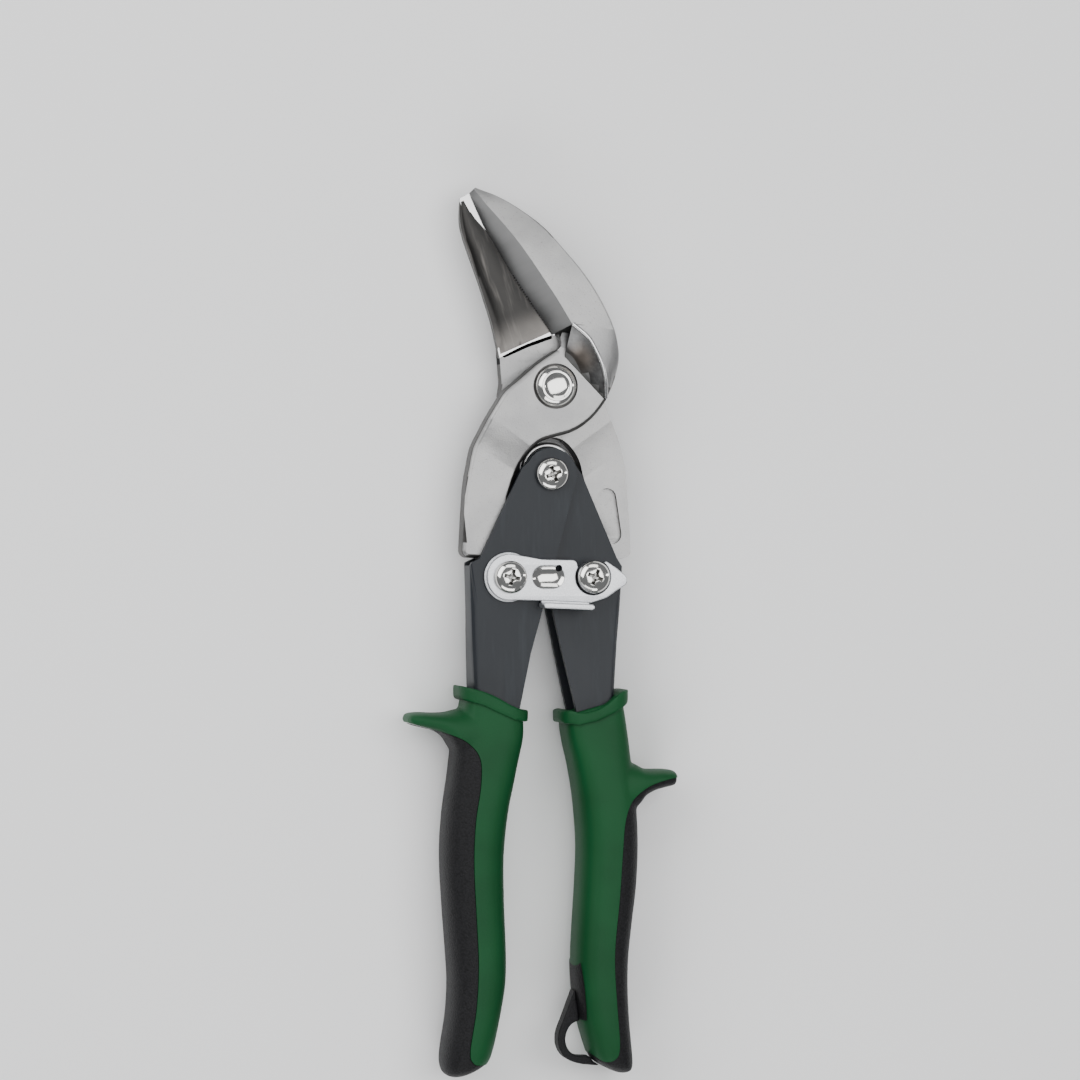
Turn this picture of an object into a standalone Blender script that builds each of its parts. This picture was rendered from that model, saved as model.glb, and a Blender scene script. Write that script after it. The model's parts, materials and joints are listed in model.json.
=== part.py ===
"""Compound-leverage aviation snips, closed and latched, lying on their back.

Metres, +Z up. The origin is on the main pivot's axis, in the plane that the tool rests on.
+Y runs to the blade tips, +X to the right handle, and the latch faces +Z.
Sketch sizes are in millimetres, with z counted from the shear plane between the blades.
"""

import math

import bmesh
import bpy
import numpy as np
from mathutils import Matrix, Vector

# Driving dimensions, mm
MM = 0.001
SHEAR_HEIGHT = 11.0          # shear plane above the resting plane
GAP = 0.3                    # running gap between neighbouring pieces
PIVOT = (0.0, 0.0)           # the blades cross here
FULCRUM = (-1.1, -24.75)    # the handles cross here
LEFT_LINK = (-13.6, -53.7)   # left handle to front blade, and the latch's pivot
RIGHT_LINK = (10.3, -53.7)   # right handle to rear blade
SHEET = 1.8                  # handle steel
PLATE_TOP = 6.5              # pivot plate, half of the blade stack
ARM_NEAR, ARM_FAR = -2.0, 4.1            # a blade's arm, across the shear plane
SHOULDER_START, SHOULDER_END = 17.7, 26.4  # where a plate steps down to its arm
LEFT_ARM_DIRECTION = Vector((-0.57, -0.82)).normalized()
RIGHT_ARM_DIRECTION = Vector((0.57, -0.82)).normalized()
LEFT_CHEEKS = (-4.1, 6.2)    # outer faces of the left handle
RIGHT_CHEEKS = (-6.2, 4.1)   # outer faces of the right handle
LATCH_BOTTOM, LATCH_TOP = 7.4, 8.9
LATCH_TAB_TOP = 14.6
NOTCH_RADIUS = 5.05
SCREW_HEAD_RADIUS = 4.65
SHANK_RADIUS = 1.8
HOLE_RADIUS = 2.3
BOLT_RADIUS = 3.9
GRIP_HALF = 11.0             # half thickness of a grip
TONGUE_HALF = 6.0            # half thickness of the steel inside a grip
TURN_STEPS = 28

COLOURS = {
    "forged_steel": ((0.60, 0.60, 0.59), 0.42, 1.0),
    "painted_steel": ((0.045, 0.050, 0.058), 0.45, 0.0),
    "zinc": ((0.78, 0.79, 0.82), 0.30, 1.0),
    "chrome": ((0.80, 0.79, 0.77), 0.12, 1.0),
    "spring_steel": ((0.62, 0.62, 0.61), 0.30, 1.0),
    "green_rubber": ((0.022, 0.105, 0.045), 0.55, 0.0),
    "black_rubber": ((0.017, 0.017, 0.020), 0.70, 0.0),
}


# ------------------------------------------------------------------ scene and helpers
for old in list(bpy.data.objects):
    bpy.data.objects.remove(old)

parts = bpy.data.collections.new("aviation_snips")
cutters = bpy.data.collections.new("cutters")
for group in (parts, cutters):
    bpy.context.scene.collection.children.link(group)


def make_material(name):
    colour, roughness, metallic = COLOURS[name]
    material = bpy.data.materials.new(name)
    material.use_nodes = True
    shader = material.node_tree.nodes["Principled BSDF"]
    shader.inputs["Base Color"].default_value = (*colour, 1)
    shader.inputs["Roughness"].default_value = roughness
    shader.inputs["Metallic"].default_value = metallic
    return material


materials = {name: make_material(name) for name in COLOURS}


def height(z):
    """World height of a sketch z, which counts from the shear plane."""
    return (z + SHEAR_HEIGHT) * MM


def add_object(name, data, finish=None):
    """A part when it has a finish, else a cutter."""
    obj = bpy.data.objects.new(name, data)
    if finish:
        parts.objects.link(obj)
        data.materials.append(materials[finish])
    else:
        cutters.objects.link(obj)
        obj.hide_render = True
        obj.display_type = "WIRE"
    return obj


def arc(centre, radius, start, end, count):
    """Points on a circle, from one angle to another in degrees."""
    angles = np.radians(np.linspace(start, end, count))
    return [(centre[0] + radius * math.cos(a), centre[1] + radius * math.sin(a)) for a in angles]


def smooth(points, steps=3):
    """A Catmull-Rom curve through the points, ends included."""
    p = [np.array(point, float) for point in points]
    p = [2 * p[0] - p[1], *p, 2 * p[-1] - p[-2]]
    found = []
    for a, b, c, d in zip(p, p[1:], p[2:], p[3:]):
        for t in np.arange(steps) / steps:
            mid = 2 * b + (c - a) * t + (2 * a - 5 * b + 4 * c - d) * t**2
            found.append(tuple(0.5 * (mid + (3 * b - a - 3 * c + d) * t**3)))
    return [*found, tuple(points[-1])]


def offset(points, distance):
    """An open line moved sideways, to the right of its direction for a positive distance."""
    p = np.array(points, float)
    along = np.gradient(p, axis=0)
    along /= np.linalg.norm(along, axis=1)[:, None]
    return [tuple(q) for q in p + distance * np.column_stack([along[:, 1], -along[:, 0]])]


def as_mesh(obj):
    """Replace a curve object by its closed mesh, in the same place."""
    graph = bpy.context.evaluated_depsgraph_get()
    mesh = bpy.data.meshes.new_from_object(obj.evaluated_get(graph))
    bm = bmesh.new()
    bm.from_mesh(mesh)
    bmesh.ops.remove_doubles(bm, verts=bm.verts, dist=0.01 * MM)
    bmesh.ops.recalc_face_normals(bm, faces=bm.faces)
    bm.to_mesh(mesh)
    bm.free()
    name, world, group = obj.name, obj.matrix_world.copy(), obj.users_collection[0]
    curve = obj.data
    bpy.data.objects.remove(obj)
    bpy.data.curves.remove(curve)
    solid = bpy.data.objects.new(name, mesh)
    group.objects.link(solid)
    solid.matrix_world = world
    solid.hide_render = group == cutters
    solid.display_type = "WIRE" if group == cutters else "TEXTURED"
    return solid


def prism(name, outline, low, high, finish=None):
    """A flat outline in plan, given thickness between two sketch heights."""
    curve = bpy.data.curves.new(name, "CURVE")
    curve.dimensions = "2D"
    curve.fill_mode = "BOTH"
    curve.extrude = (high - low) / 2 * MM
    spline = curve.splines.new("POLY")
    spline.points.add(len(outline) - 1)
    for point, (x, y) in zip(spline.points, outline):
        point.co = (x * MM, y * MM, 0, 1)
    spline.use_cyclic_u = True
    obj = add_object(name, curve, finish)
    obj.location.z = height((low + high) / 2)
    bpy.context.view_layer.update()
    return as_mesh(obj)


def side_prism(name, profile, direction, width=120.0):
    """A profile of (distance along a plan direction, z), extruded across that direction."""
    solid = prism(name, profile, -width, width)
    along = Vector((direction[0], direction[1], 0))
    turn = Matrix((along, Vector((0, 0, 1)), along.cross(Vector((0, 0, 1))))).transposed().to_4x4()
    solid.matrix_world = Matrix.Translation((0, 0, height(0))) @ turn
    return solid


def turned(name, profile, centre, finish=None, steps=TURN_STEPS):
    """A profile of (radius, z), outer side top to bottom, turned about a vertical axis."""
    mesh = bpy.data.meshes.new(name)
    closed = profile[0] == profile[-1]
    points = [(r * MM, 0, z * MM) for r, z in (profile[:-1] if closed else profile)]
    edges = [(i, i + 1) for i in range(len(points) - 1)] + [(len(points) - 1, 0)] * closed
    mesh.from_pydata(points, edges, [])
    obj = add_object(name, mesh, finish)
    obj.location = (centre[0] * MM, centre[1] * MM, height(0))
    screw = obj.modifiers.new("turn", "SCREW")
    screw.steps = screw.render_steps = steps
    screw.use_merge_vertices = True
    screw.merge_threshold = 0.00001
    return obj


def ring_profile(inner, outer, low, high):
    """The closed profile of a plain ring."""
    return [(inner, high), (outer, high), (outer, low), (inner, low), (inner, high)]


def drill(name, centre, radius, low=-30.0, high=30.0):
    return turned(name, [(0, high), (radius, high), (radius, low), (0, low)], centre)


def loft(name, rings, finish=None):
    """A closed skin over rings of equal length, each a list of (x, y, z) in sketch mm."""
    bm = bmesh.new()
    loops = [[bm.verts.new((x * MM, y * MM, height(z))) for x, y, z in ring] for ring in rings]
    count = len(rings[0])
    for first, second in zip(loops, loops[1:]):
        for i in range(count):
            j = (i + 1) % count
            bm.faces.new((first[i], first[j], second[j], second[i]))
    bm.faces.new(loops[0][::-1])
    bm.faces.new(loops[-1])
    bmesh.ops.triangulate(bm, faces=bm.faces)
    bmesh.ops.recalc_face_normals(bm, faces=bm.faces)
    mesh = bpy.data.meshes.new(name)
    bm.to_mesh(mesh)
    bm.free()
    return add_object(name, mesh, finish)


def combine(target, other, operation):
    boolean = target.modifiers.new(f"{operation.lower()} {other.name}", "BOOLEAN")
    boolean.operation = operation
    boolean.object = other
    return target


def cut(target, *others):
    for other in others:
        combine(target, other, "DIFFERENCE")
    return target


def apply_modifiers(obj):
    """Keep the evaluated mesh as the object's own."""
    graph = bpy.context.evaluated_depsgraph_get()
    mesh = bpy.data.meshes.new_from_object(obj.evaluated_get(graph))
    obj.modifiers.clear()
    obj.data = mesh
    return obj


# ------------------------------------------------------------------ blades
def shoulder(name, direction, near, far, plate_near, plate_far):
    """Two cutters: above and below a plate that steps down to its arm along a direction."""
    start, end, reach, beyond = SHOULDER_START, SHOULDER_END, 90, 30
    top = [(-reach, plate_far), (start, plate_far), (end, far), (reach, far)]
    low = [(-reach, plate_near), (start, plate_near), (end, near), (reach, near)]
    above = side_prism(name + "_above", [*top, (reach, beyond), (-reach, beyond)], direction)
    below = side_prism(name + "_below", [*low, (reach, -beyond), (-reach, -beyond)], direction)
    return above, below


FRONT_PLATE = [
    (0.9, 10.1),
    *smooth([(0.0, 9.8), (-5.6, 6.0), (-10.2, 2.0), (-14.3, -1.4), (-16.3, -4.3), (-19.2, -9.0),
             (-21.2, -13.2), (-23.2, -17.6), (-24.3, -23.0), (-25.3, -29.0), (-26.2, -44.0)], 2),
    *arc((-24.2, -46.2), 2.1, 180, 262, 4),
    (-21.6, -48.4),
    *arc(LEFT_LINK, 7.6, 155, 360, 11),
    *smooth([(-6.6, -50.0), (-9.6, -42.0), (-13.0, -34.5), (-12.0, -28.5), (-10.9, -25.2), (-9.6, -21.9),
             (-7.8, -19.0), (-5.7, -16.8), (-3.6, -15.4), (0.4, -14.2), (4.4, -13.1), (8.3, -11.0),
             (11.9, -7.8), (14.6, -4.2)], 2),
]
# Front blade stations from tip to throat: cutting edge, crest, outer edge, crest height.
FRONT_BLADE = [
    ((-23.5, 54.4), (-22.4, 55.3), (-21.9, 55.9), 1.7),
    ((-21.2, 49.2), (-19.2, 50.6), (-15.9, 53.3), 4.6),
    ((-18.7, 44.0), (-15.4, 45.9), (-9.6, 49.4), 6.6),
    ((-15.4, 38.8), (-11.6, 41.1), (-3.4, 44.6), 7.8),
    ((-12.5, 33.8), (-8.0, 36.2), (2.2, 38.6), 8.3),
    ((-8.7, 27.5), (-3.6, 29.8), (8.2, 31.6), 8.5),
    ((-4.6, 21.8), (0.2, 24.2), (12.6, 25.0), 8.5),
    ((-0.7, 16.2), (3.4, 19.0), (15.6, 19.2), 8.5),
    ((0.4, 14.7), (4.4, 17.4), (16.9, 15.9), 8.5),
]
# The crescent's tail, beside the sheet channel: inner edge, outer edge, height.
FRONT_TAIL = [
    ((4.4, 17.4), (16.9, 15.9), 8.5),
    ((8.8, 13.8), (17.9, 12.0), 8.4),
    ((11.4, 9.6), (18.4, 8.5), 8.2),
    ((13.2, 5.6), (18.1, 5.0), 7.8),
    ((14.3, 1.0), (17.0, 0.8), 7.0),
    ((14.6, -3.3), (14.9, -3.9), 5.6),
]
CHANNEL_FLOOR = [(2.3, 14.0), (3.6, 17.4), (9.0, 17.0), (15.0, 12.0), (16.6, 6.0), (15.4, -1.0), (14.5, -3.8),
                 (11.0, -4.0), (-1.0, 6.0), (1.0, 10.2), (2.2, 11.3), (2.6, 12.6)]
CHANNEL_HEIGHT = 2.6
CREST_DROP = 0.7             # the crescent falls this much from crest to outer edge


def front_blade():
    blade = prism("front_blade", FRONT_PLATE, -8, 12, "forged_steel")
    above, below = shoulder("front_shoulder", LEFT_ARM_DIRECTION, ARM_NEAR, ARM_FAR, 0.1, PLATE_TOP)
    cut(blade, above)
    rings = []
    for edge, crest, outer, top in FRONT_BLADE:
        rim = top - CREST_DROP
        inset = (outer[0] + 0.06 * (crest[0] - outer[0]), outer[1] + 0.06 * (crest[1] - outer[1]))
        rings.append([(*edge, -1), (*edge, 0.35), (*crest, top), (*inset, rim), (*outer, rim - 0.6),
                      (*outer, -1)])
    crescent = loft("front_crescent", rings)
    rings = []
    for inner, outer, top in FRONT_TAIL:
        rim = top - CREST_DROP
        rings.append([(*inner, -1), (*inner, top), (*outer, rim), (*outer, -1)])
    tail = loft("front_tail", rings)
    floor = prism("front_channel_floor", CHANNEL_FLOOR, -1.5, CHANNEL_HEIGHT)
    for piece in (floor, crescent, tail):
        combine(blade, piece, "UNION")
    throat = drill("front_throat", (0.5, 12.3), 2.1, -3, CHANNEL_HEIGHT + 9)
    counterbore = drill("front_counterbore", PIVOT, 6.5, 5.4)
    return cut(blade, below, throat, drill("front_bore", PIVOT, BOLT_RADIUS + GAP), counterbore,
               drill("front_link_hole", LEFT_LINK, HOLE_RADIUS))


REAR_PLATE = [
    *smooth([(-14.6, 12.0), (-14.3, 8.0), (-14.0, 4.0), (-13.8, 1.0), (-14.3, -2.6)], 2),
    *smooth([(-13.5, -6.0), (-11.6, -8.2), (-8.3, -11.0), (-4.4, -13.1), (0.0, -14.2), (2.7, -14.6),
             (5.2, -16.2), (7.2, -18.8), (8.4, -21.7), (9.0, -25.0), (10.0, -28.5), (11.2, -33.5),
             (7.2, -42.0), (4.0, -50.0)], 2),
    *arc(RIGHT_LINK, 6.9, 180, 380, 11),
    (17.9, -49.6),
    (19.2, -48.8),
    *arc((20.9, -46.4), 1.9, 278, 360, 4),
    *smooth([(22.5, -40.0), (21.9, -32.0), (21.4, -25.0), (20.2, -18.0), (18.5, -12.0), (16.5, -6.5),
             (15.4, -3.6), (13.2, 0.2), (10.2, 3.0), (7.4, 5.6), (4.6, 9.4), (3.0, 13.0), (0.6, 15.6)], 2),
]
# Rear blade stations from tip to neck: cutting edge, back edge, depth behind the shear plane.
REAR_BLADE = [
    ((-23.6, 54.3), (-26.2, 52.8), 1.4),
    ((-20.8, 49.5), (-26.1, 47.0), 4.2),
    ((-18.3, 44.3), (-25.3, 42.6), 6.0),
    ((-14.6, 38.3), (-23.2, 36.4), 7.2),
    ((-9.5, 30.7), (-20.7, 29.6), 7.9),
    ((-5.0, 23.6), (-18.6, 23.2), 8.2),
    ((-0.5, 17.0), (-16.7, 17.0), 7.6),
    ((3.2, 11.0), (-14.7, 8.0), 6.4),
]
NECK_RECESS = [(-18.0, 6.5), (-13.9, 8.5), *smooth([(-13.9, 8.5), (-7.0, 11.9), (1.2, 14.7)], 3), (4.4, 15.6),
               (5.2, 9.0), *smooth([(0.6, 8.6), (-4.0, 7.0), (-7.2, 4.0), (-9.6, 1.9), (-14.0, 0.7)], 2),
               (-18.0, 0.0)]
NECK_DEPTH = -1.8
ARM_POCKET = ((15.9, -31.4), (17.4, -41.7), 2.75, 1.4)   # ends of its middle line, radius, floor height


def stadium(start, end, radius):
    """A slot's outline about the line between two points."""
    heading = math.degrees(math.atan2(end[1] - start[1], end[0] - start[0]))
    return arc(end, radius, heading - 90, heading + 90, 9) + arc(start, radius, heading + 90, heading + 270, 9)


def rear_blade():
    blade = prism("rear_blade", REAR_PLATE, -12, 8, "forged_steel")
    above, below = shoulder("rear_shoulder", RIGHT_ARM_DIRECTION, -ARM_FAR, -ARM_NEAR, -PLATE_TOP, -0.1)
    cut(blade, below)
    rings = []
    for edge, back, depth in REAR_BLADE:
        edge, back = np.array(edge), np.array(back)
        ridge = edge + (back - edge) * min(0.62 * depth / np.linalg.norm(back - edge), 0.5)
        heel = back + (edge - back) * 0.16
        side = -min(2.8, 0.6 * depth)
        rings.append([(*edge, 1), (*edge, -0.35), (*ridge, -depth), (*heel, -0.72 * depth), (*back, side),
                      (*back, 1)])
    combine(blade, loft("rear_blade_body", rings), "UNION")
    start, end, radius, floor = ARM_POCKET
    recess = prism("neck_recess", NECK_RECESS, NECK_DEPTH, 3)
    pocket = prism("arm_pocket", stadium(start, end, radius), floor, 6)
    return cut(blade, above, recess, pocket, drill("rear_bore", PIVOT, BOLT_RADIUS + GAP),
               drill("rear_link_hole", RIGHT_LINK, HOLE_RADIUS + 0.2))


# ------------------------------------------------------------------ handles
def handle_profile(cheeks, flare_low, flare_high, grow=0.0):
    """(distance down the handle, z) outline of a handle's side view."""
    low, high = cheeks
    upper = [(-5, high), (62, high), (88, flare_high), (101, TONGUE_HALF), (175, TONGUE_HALF)]
    lower = [(175, -TONGUE_HALF), (101, -TONGUE_HALF), (88, flare_low), (62, low), (-5, low)]
    return [(s, z + grow) for s, z in upper] + [(s, z - grow) for s, z in lower]


LEFT_WEB = [(-24.4, -50.5), (-24.2, -62.0), (-23.9, -72.0), (-23.3, -84.5), (-23.1, -91.0), (-23.6, -100.0),
            (-24.6, -112.0), (-25.6, -125.0), (-25.4, -150.0), (-24.6, -168.0)]
LEFT_FREE = [(5.5, -28.5), (2.2, -41.0), (-3.4, -62.0), (-7.0, -75.0), (-10.3, -91.0), (-13.0, -100.0),
             (-15.6, -112.0), (-18.0, -125.0), (-18.6, -150.0), (-18.6, -168.0)]
RIGHT_WEB = [(20.1, -51.2), (19.6, -62.0), (18.5, -72.0), (17.3, -85.5), (16.8, -92.0), (16.9, -100.0),
             (17.8, -112.0), (18.8, -125.0), (18.4, -145.0), (16.8, -168.0)]
RIGHT_FREE = [(-7.6, -29.5), (-5.0, -41.0), (-0.6, -62.0), (2.2, -75.0), (5.7, -90.5), (8.2, -100.0),
              (10.5, -112.0), (12.0, -125.0), (12.0, -145.0), (10.5, -168.0)]
LEFT_CHEEK = [(-24.0, -49.6), (-21.7, -48.5), (-9.5, -23.0), *arc(FULCRUM, 7.4, 152, -16, 13)]
RIGHT_CHEEK = [(19.6, -50.4), (18.3, -48.4), (8.2, -24.9), *arc(FULCRUM, 7.6, 30, 198, 13)]
DOWN = Vector((0, -1))


def handle(name, outline, web, cheeks, flares, outward):
    """A pressed channel: two cheeks joined by a web, open towards the other handle."""
    block = prism(name, outline, -12, 12, "painted_steel")
    combine(block, side_prism(name + "_side", handle_profile(cheeks, *flares), DOWN), "INTERSECT")
    apply_modifiers(block)
    bm = bmesh.new()
    bm.from_mesh(block.data)
    bmesh.ops.dissolve_limit(bm, angle_limit=0.002, verts=bm.verts, edges=bm.edges)
    limit = web[0][1] * MM + 0.0001
    bends = []
    for edge in bm.edges:
        if len(edge.link_faces) != 2 or max(v.co.y for v in edge.verts) > limit:
            continue
        sides = [face.normal for face in edge.link_faces]
        if max(n.x * outward for n in sides) > 0.9 and max(abs(n.z) for n in sides) > 0.9:
            bends.append(edge)
    bmesh.ops.bevel(bm, geom=bends, offset=2.0 * MM, segments=3, profile=0.5, affect="EDGES")
    bm.to_mesh(block.data)
    bm.free()
    wall = [(x - outward * SHEET, y) for x, y in web]
    far = -outward * 60
    room = prism(name + "_room", [*wall, (wall[-1][0], -180), (far, -180), (far, 10), (-far, 10),
                                  (-far, wall[0][1])], -12, 12)
    combine(room, side_prism(name + "_inside", handle_profile(cheeks, *flares, -SHEET), DOWN), "INTERSECT")
    return cut(block, room)


def left_handle():
    outline = [*LEFT_CHEEK, *LEFT_FREE, *LEFT_WEB[::-1]]
    channel = handle("left_handle", outline, LEFT_WEB, LEFT_CHEEKS, (-7.2, LEFT_CHEEKS[1]), -1)
    return cut(channel, drill("left_fulcrum_hole", FULCRUM, HOLE_RADIUS),
               drill("left_handle_link_hole", LEFT_LINK, HOLE_RADIUS))


def right_handle():
    outline = [*RIGHT_CHEEK, *RIGHT_FREE, *RIGHT_WEB[::-1]]
    channel = handle("right_handle", outline, RIGHT_WEB, RIGHT_CHEEKS, (-7.6, 7.0), 1)
    return cut(channel, drill("right_fulcrum_hole", FULCRUM, HOLE_RADIUS),
               drill("right_handle_link_hole", RIGHT_LINK, HOLE_RADIUS))


# ------------------------------------------------------------------ fasteners and spring
def pan_screw(name, centre, seat, end, turn):
    """A domed cross-recess screw: the head's underside is at seat, the shank's tip at end."""
    dome = [(SCREW_HEAD_RADIUS * math.sin(a), seat + 0.9 + 2.1 * math.cos(a))
            for a in np.radians(np.linspace(0, 90, 7))]
    profile = [*dome, (SCREW_HEAD_RADIUS, seat + 0.3), (SCREW_HEAD_RADIUS - 0.3, seat), (SHANK_RADIUS, seat),
               (SHANK_RADIUS, end + 0.4), (SHANK_RADIUS - 0.4, end), (0, end)]
    screw = turned(name, profile, centre, "chrome")
    for step in range(2):
        arm = prism(f"{name}_recess_{step}", [(-2.3, -0.5), (2.3, -0.5), (2.3, 0.5), (-2.3, 0.5)], -0.8, 3)
        arm.location = (centre[0] * MM, centre[1] * MM, height(seat + 2.1))
        arm.rotation_euler.z = math.radians(turn + 90 * step)
        cut(screw, arm)
    return screw


def hex_nut(name, centre, low, high, across, finish="chrome", bore=SHANK_RADIUS + GAP):
    nut = prism(name, arc(centre, across / math.sqrt(3), 0, 300, 6), low, high, finish)
    return cut(nut, drill(name + "_bore", centre, bore))


def pivot_bolt():
    """Dished head in the front blade's counterbore, threaded end flush with the resting plane."""
    head = [(0, 8.1), (2.6, 8.1), (4.0, 8.6), (4.4, 8.6), (5.4, 7.9), (5.8, 7.2), (5.8, 6.0), (5.6, 5.7)]
    shank = [(BOLT_RADIUS, 5.7), (BOLT_RADIUS, -10.5), (BOLT_RADIUS - 0.5, -SHEAR_HEIGHT), (0, -SHEAR_HEIGHT)]
    return turned("pivot_bolt", [*head, *shank], PIVOT, "chrome")


COIL_CENTRE = (-1.1, -23.2)
COIL_RADIUS, WIRE_RADIUS, COIL_TURNS = 6.6, 0.95, 2.0
LEFT_LEG = [(-4.6, -33.0), (-3.9, -44.0), (-3.8, -56.5), (-7.0, -64.0), (-13.0, -69.0), (-20.2, -72.0)]
RIGHT_LEG = [(3.0, -33.0), (1.4, -44.0), (1.2, -56.5), (4.6, -64.0), (10.0, -69.0), (15.4, -72.0)]


def return_spring():
    """A torsion spring loose around the fulcrum, with a leg along each handle's web."""
    turns = np.linspace(200, -20 - 360 * (COIL_TURNS - 1), 40)
    rise = WIRE_RADIUS + 0.08
    coil = []
    for angle, z in zip(np.radians(turns), np.linspace(-rise, rise, len(turns))):
        coil.append((COIL_CENTRE[0] + COIL_RADIUS * math.cos(angle),
                     COIL_CENTRE[1] + COIL_RADIUS * math.sin(angle), z))
    path = [(x, y, -rise) for x, y in smooth(LEFT_LEG, 2)[::-1]] + coil
    path += [(x, y, rise) for x, y in smooth(RIGHT_LEG, 2)]
    curve = bpy.data.curves.new("return_spring", "CURVE")
    curve.dimensions = "3D"
    curve.bevel_depth = WIRE_RADIUS * MM
    curve.bevel_resolution = 2
    curve.use_fill_caps = True
    spline = curve.splines.new("POLY")
    spline.points.add(len(path) - 1)
    for point, (x, y, z) in zip(spline.points, path):
        point.co = (x * MM, y * MM, height(z), 1)
    return add_object("return_spring", curve, "spring_steel")


# ------------------------------------------------------------------ latch
def latch():
    """Hook plate that swings about the left link and holds the right link's screw."""
    notch = arc(RIGHT_LINK, NOTCH_RADIUS, 149, 411, 22)
    outline = [
        *arc(LEFT_LINK, 6.5, 80, 280, 15),
        *smooth([(-10.4, -60.1), (-5.0, -60.3)], 1),
        *smooth([(9.6, -61.0), (12.0, -60.3), (14.4, -59.4), (17.3, -57.4)], 2),
        *arc((18.3, -54.6), 1.9, -50, 45, 6),
        *smooth([(17.1, -51.2), (14.7, -49.6), (13.9, -49.3)], 2),
        *notch[::-1],
        *arc((4.3, -50.4), 1.5, 0, 90, 4),
        *smooth([(0.0, -48.8), (-4.2, -48.7), (-8.4, -48.0)], 2),
    ]
    plate = prism("latch", outline, LATCH_BOTTOM, LATCH_TOP, "zinc")
    tab = prism("latch_tab", [(-5.1, -60.7), (9.5, -61.4), (9.5, -62.6), (-5.1, -61.9)], LATCH_BOTTOM,
                LATCH_TAB_TOP)
    root = prism("latch_tab_root", [(-5.1, -59.0), (9.5, -59.7), (9.5, -62.6), (-5.1, -61.9)],
                 LATCH_BOTTOM + 0.05, LATCH_TOP - 0.05)
    combine(plate, root, "UNION")
    combine(plate, tab, "UNION")
    dimple = prism("latch_dimple", stadium((-4.0, -53.7), (-1.2, -53.7), 3.0), LATCH_TOP - 0.8, 12)
    return cut(plate, drill("latch_hole", LEFT_LINK, HOLE_RADIUS), dimple,
               drill("latch_eye", (0.4, -51.2), 1.0))


# ------------------------------------------------------------------ grips
def oval(start, end, half, power=2.7, grow=0.0, count=22):
    """A rounded section between two plan points, as thick as twice half. A high power squares it."""
    start, end = np.array(start), np.array(end)
    outward = (end - start) / np.linalg.norm(end - start) * grow
    start, end, half = start - outward, end + outward, half + grow
    ring = []
    for angle in np.radians(np.arange(count) * 360 / count):
        across = math.copysign(abs(math.cos(angle)) ** (2 / power), math.cos(angle))
        through = math.copysign(abs(math.sin(angle)) ** (2 / power), math.sin(angle))
        ring.append((*((start + end) / 2 + (end - start) / 2 * across), half * through))
    return ring


# Sections from collar to end: outer-side point, inner-side point, half thickness, squareness.
LEFT_BODY = [
    ((-25.0, -86.4), (-9.0, -92.3), 9.2, 4.2), ((-25.7, -89.5), (-8.8, -95.5), 9.4, 4.2),
    ((-26.8, -95.0), (-9.0, -99.5), 9.9, 4.0), ((-28.6, -102.0), (-10.2, -105.5), 10.3, 3.5),
    ((-29.7, -110.0), (-11.4, -111.8), 10.7, 3.1), ((-31.2, -120.0), (-13.0, -120.0), 11.0, 2.9),
    ((-31.9, -132.0), (-14.2, -132.0), 11.0, 2.8), ((-31.2, -146.0), (-14.1, -146.0), 11.0, 2.8),
    ((-30.2, -159.0), (-13.6, -159.0), 11.0, 2.8), ((-29.7, -168.0), (-13.8, -168.0), 11.0, 2.8),
    ((-30.2, -177.0), (-15.3, -177.0), 11.0, 2.8), ((-31.7, -186.0), (-17.2, -186.0), 10.6, 2.7),
    ((-32.0, -190.6), (-18.9, -190.3), 9.6, 2.6), ((-31.0, -193.4), (-22.4, -192.8), 7.2, 2.5),
    ((-29.0, -194.5), (-25.4, -194.2), 3.4, 2.4),
]
RIGHT_BODY = [
    ((19.7, -88.0), (3.5, -92.5), 9.2, 4.2), ((20.5, -92.5), (3.4, -96.0), 9.4, 4.2),
    ((21.5, -99.5), (4.2, -101.0), 9.9, 4.0), ((22.4, -106.0), (5.3, -106.0), 10.3, 3.5),
    ((23.6, -113.0), (6.5, -113.0), 10.7, 3.1), ((24.4, -120.0), (7.3, -120.0), 11.0, 2.9),
    ((24.8, -130.0), (7.9, -130.0), 11.0, 2.8), ((24.3, -141.0), (7.5, -141.0), 11.0, 2.8),
    ((23.1, -151.0), (6.9, -151.0), 11.0, 2.8), ((22.0, -161.0), (6.4, -161.0), 11.0, 2.8),
    ((21.8, -170.0), (6.8, -170.0), 11.0, 2.8), ((22.2, -179.0), (8.1, -179.0), 11.0, 2.8),
    ((22.9, -186.0), (10.0, -186.0), 10.6, 2.7), ((23.4, -191.0), (11.9, -190.6), 9.6, 2.6),
    ((23.1, -193.5), (16.0, -193.2), 7.2, 2.5), ((21.6, -194.5), (18.8, -194.4), 3.4, 2.4),
]
# Finger guard sections from tip to body: upper point, lower point, half thickness.
LEFT_GUARD = [
    ((-42.0, -92.9), (-42.0, -94.3), 4.6), ((-41.0, -91.9), (-40.8, -95.3), 7.4),
    ((-38.0, -91.6), (-37.4, -96.2), 8.8), ((-34.0, -91.8), (-33.6, -97.2), 9.4),
    ((-30.6, -91.7), (-30.6, -99.4), 9.8), ((-27.6, -91.0), (-28.2, -103.0), 10.0),
    ((-22.0, -90.0), (-22.0, -106.0), 9.9),
]
RIGHT_GUARD = [
    ((36.0, -109.4), (36.0, -110.9), 4.6), ((35.0, -108.2), (34.8, -112.0), 7.4),
    ((32.3, -107.8), (32.0, -113.0), 8.8), ((29.0, -107.9), (29.0, -114.0), 9.4),
    ((26.2, -107.6), (26.4, -115.8), 9.8), ((23.6, -106.4), (24.2, -119.0), 10.0),
    ((18.5, -105.0), (18.5, -121.0), 9.9),
]
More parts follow.
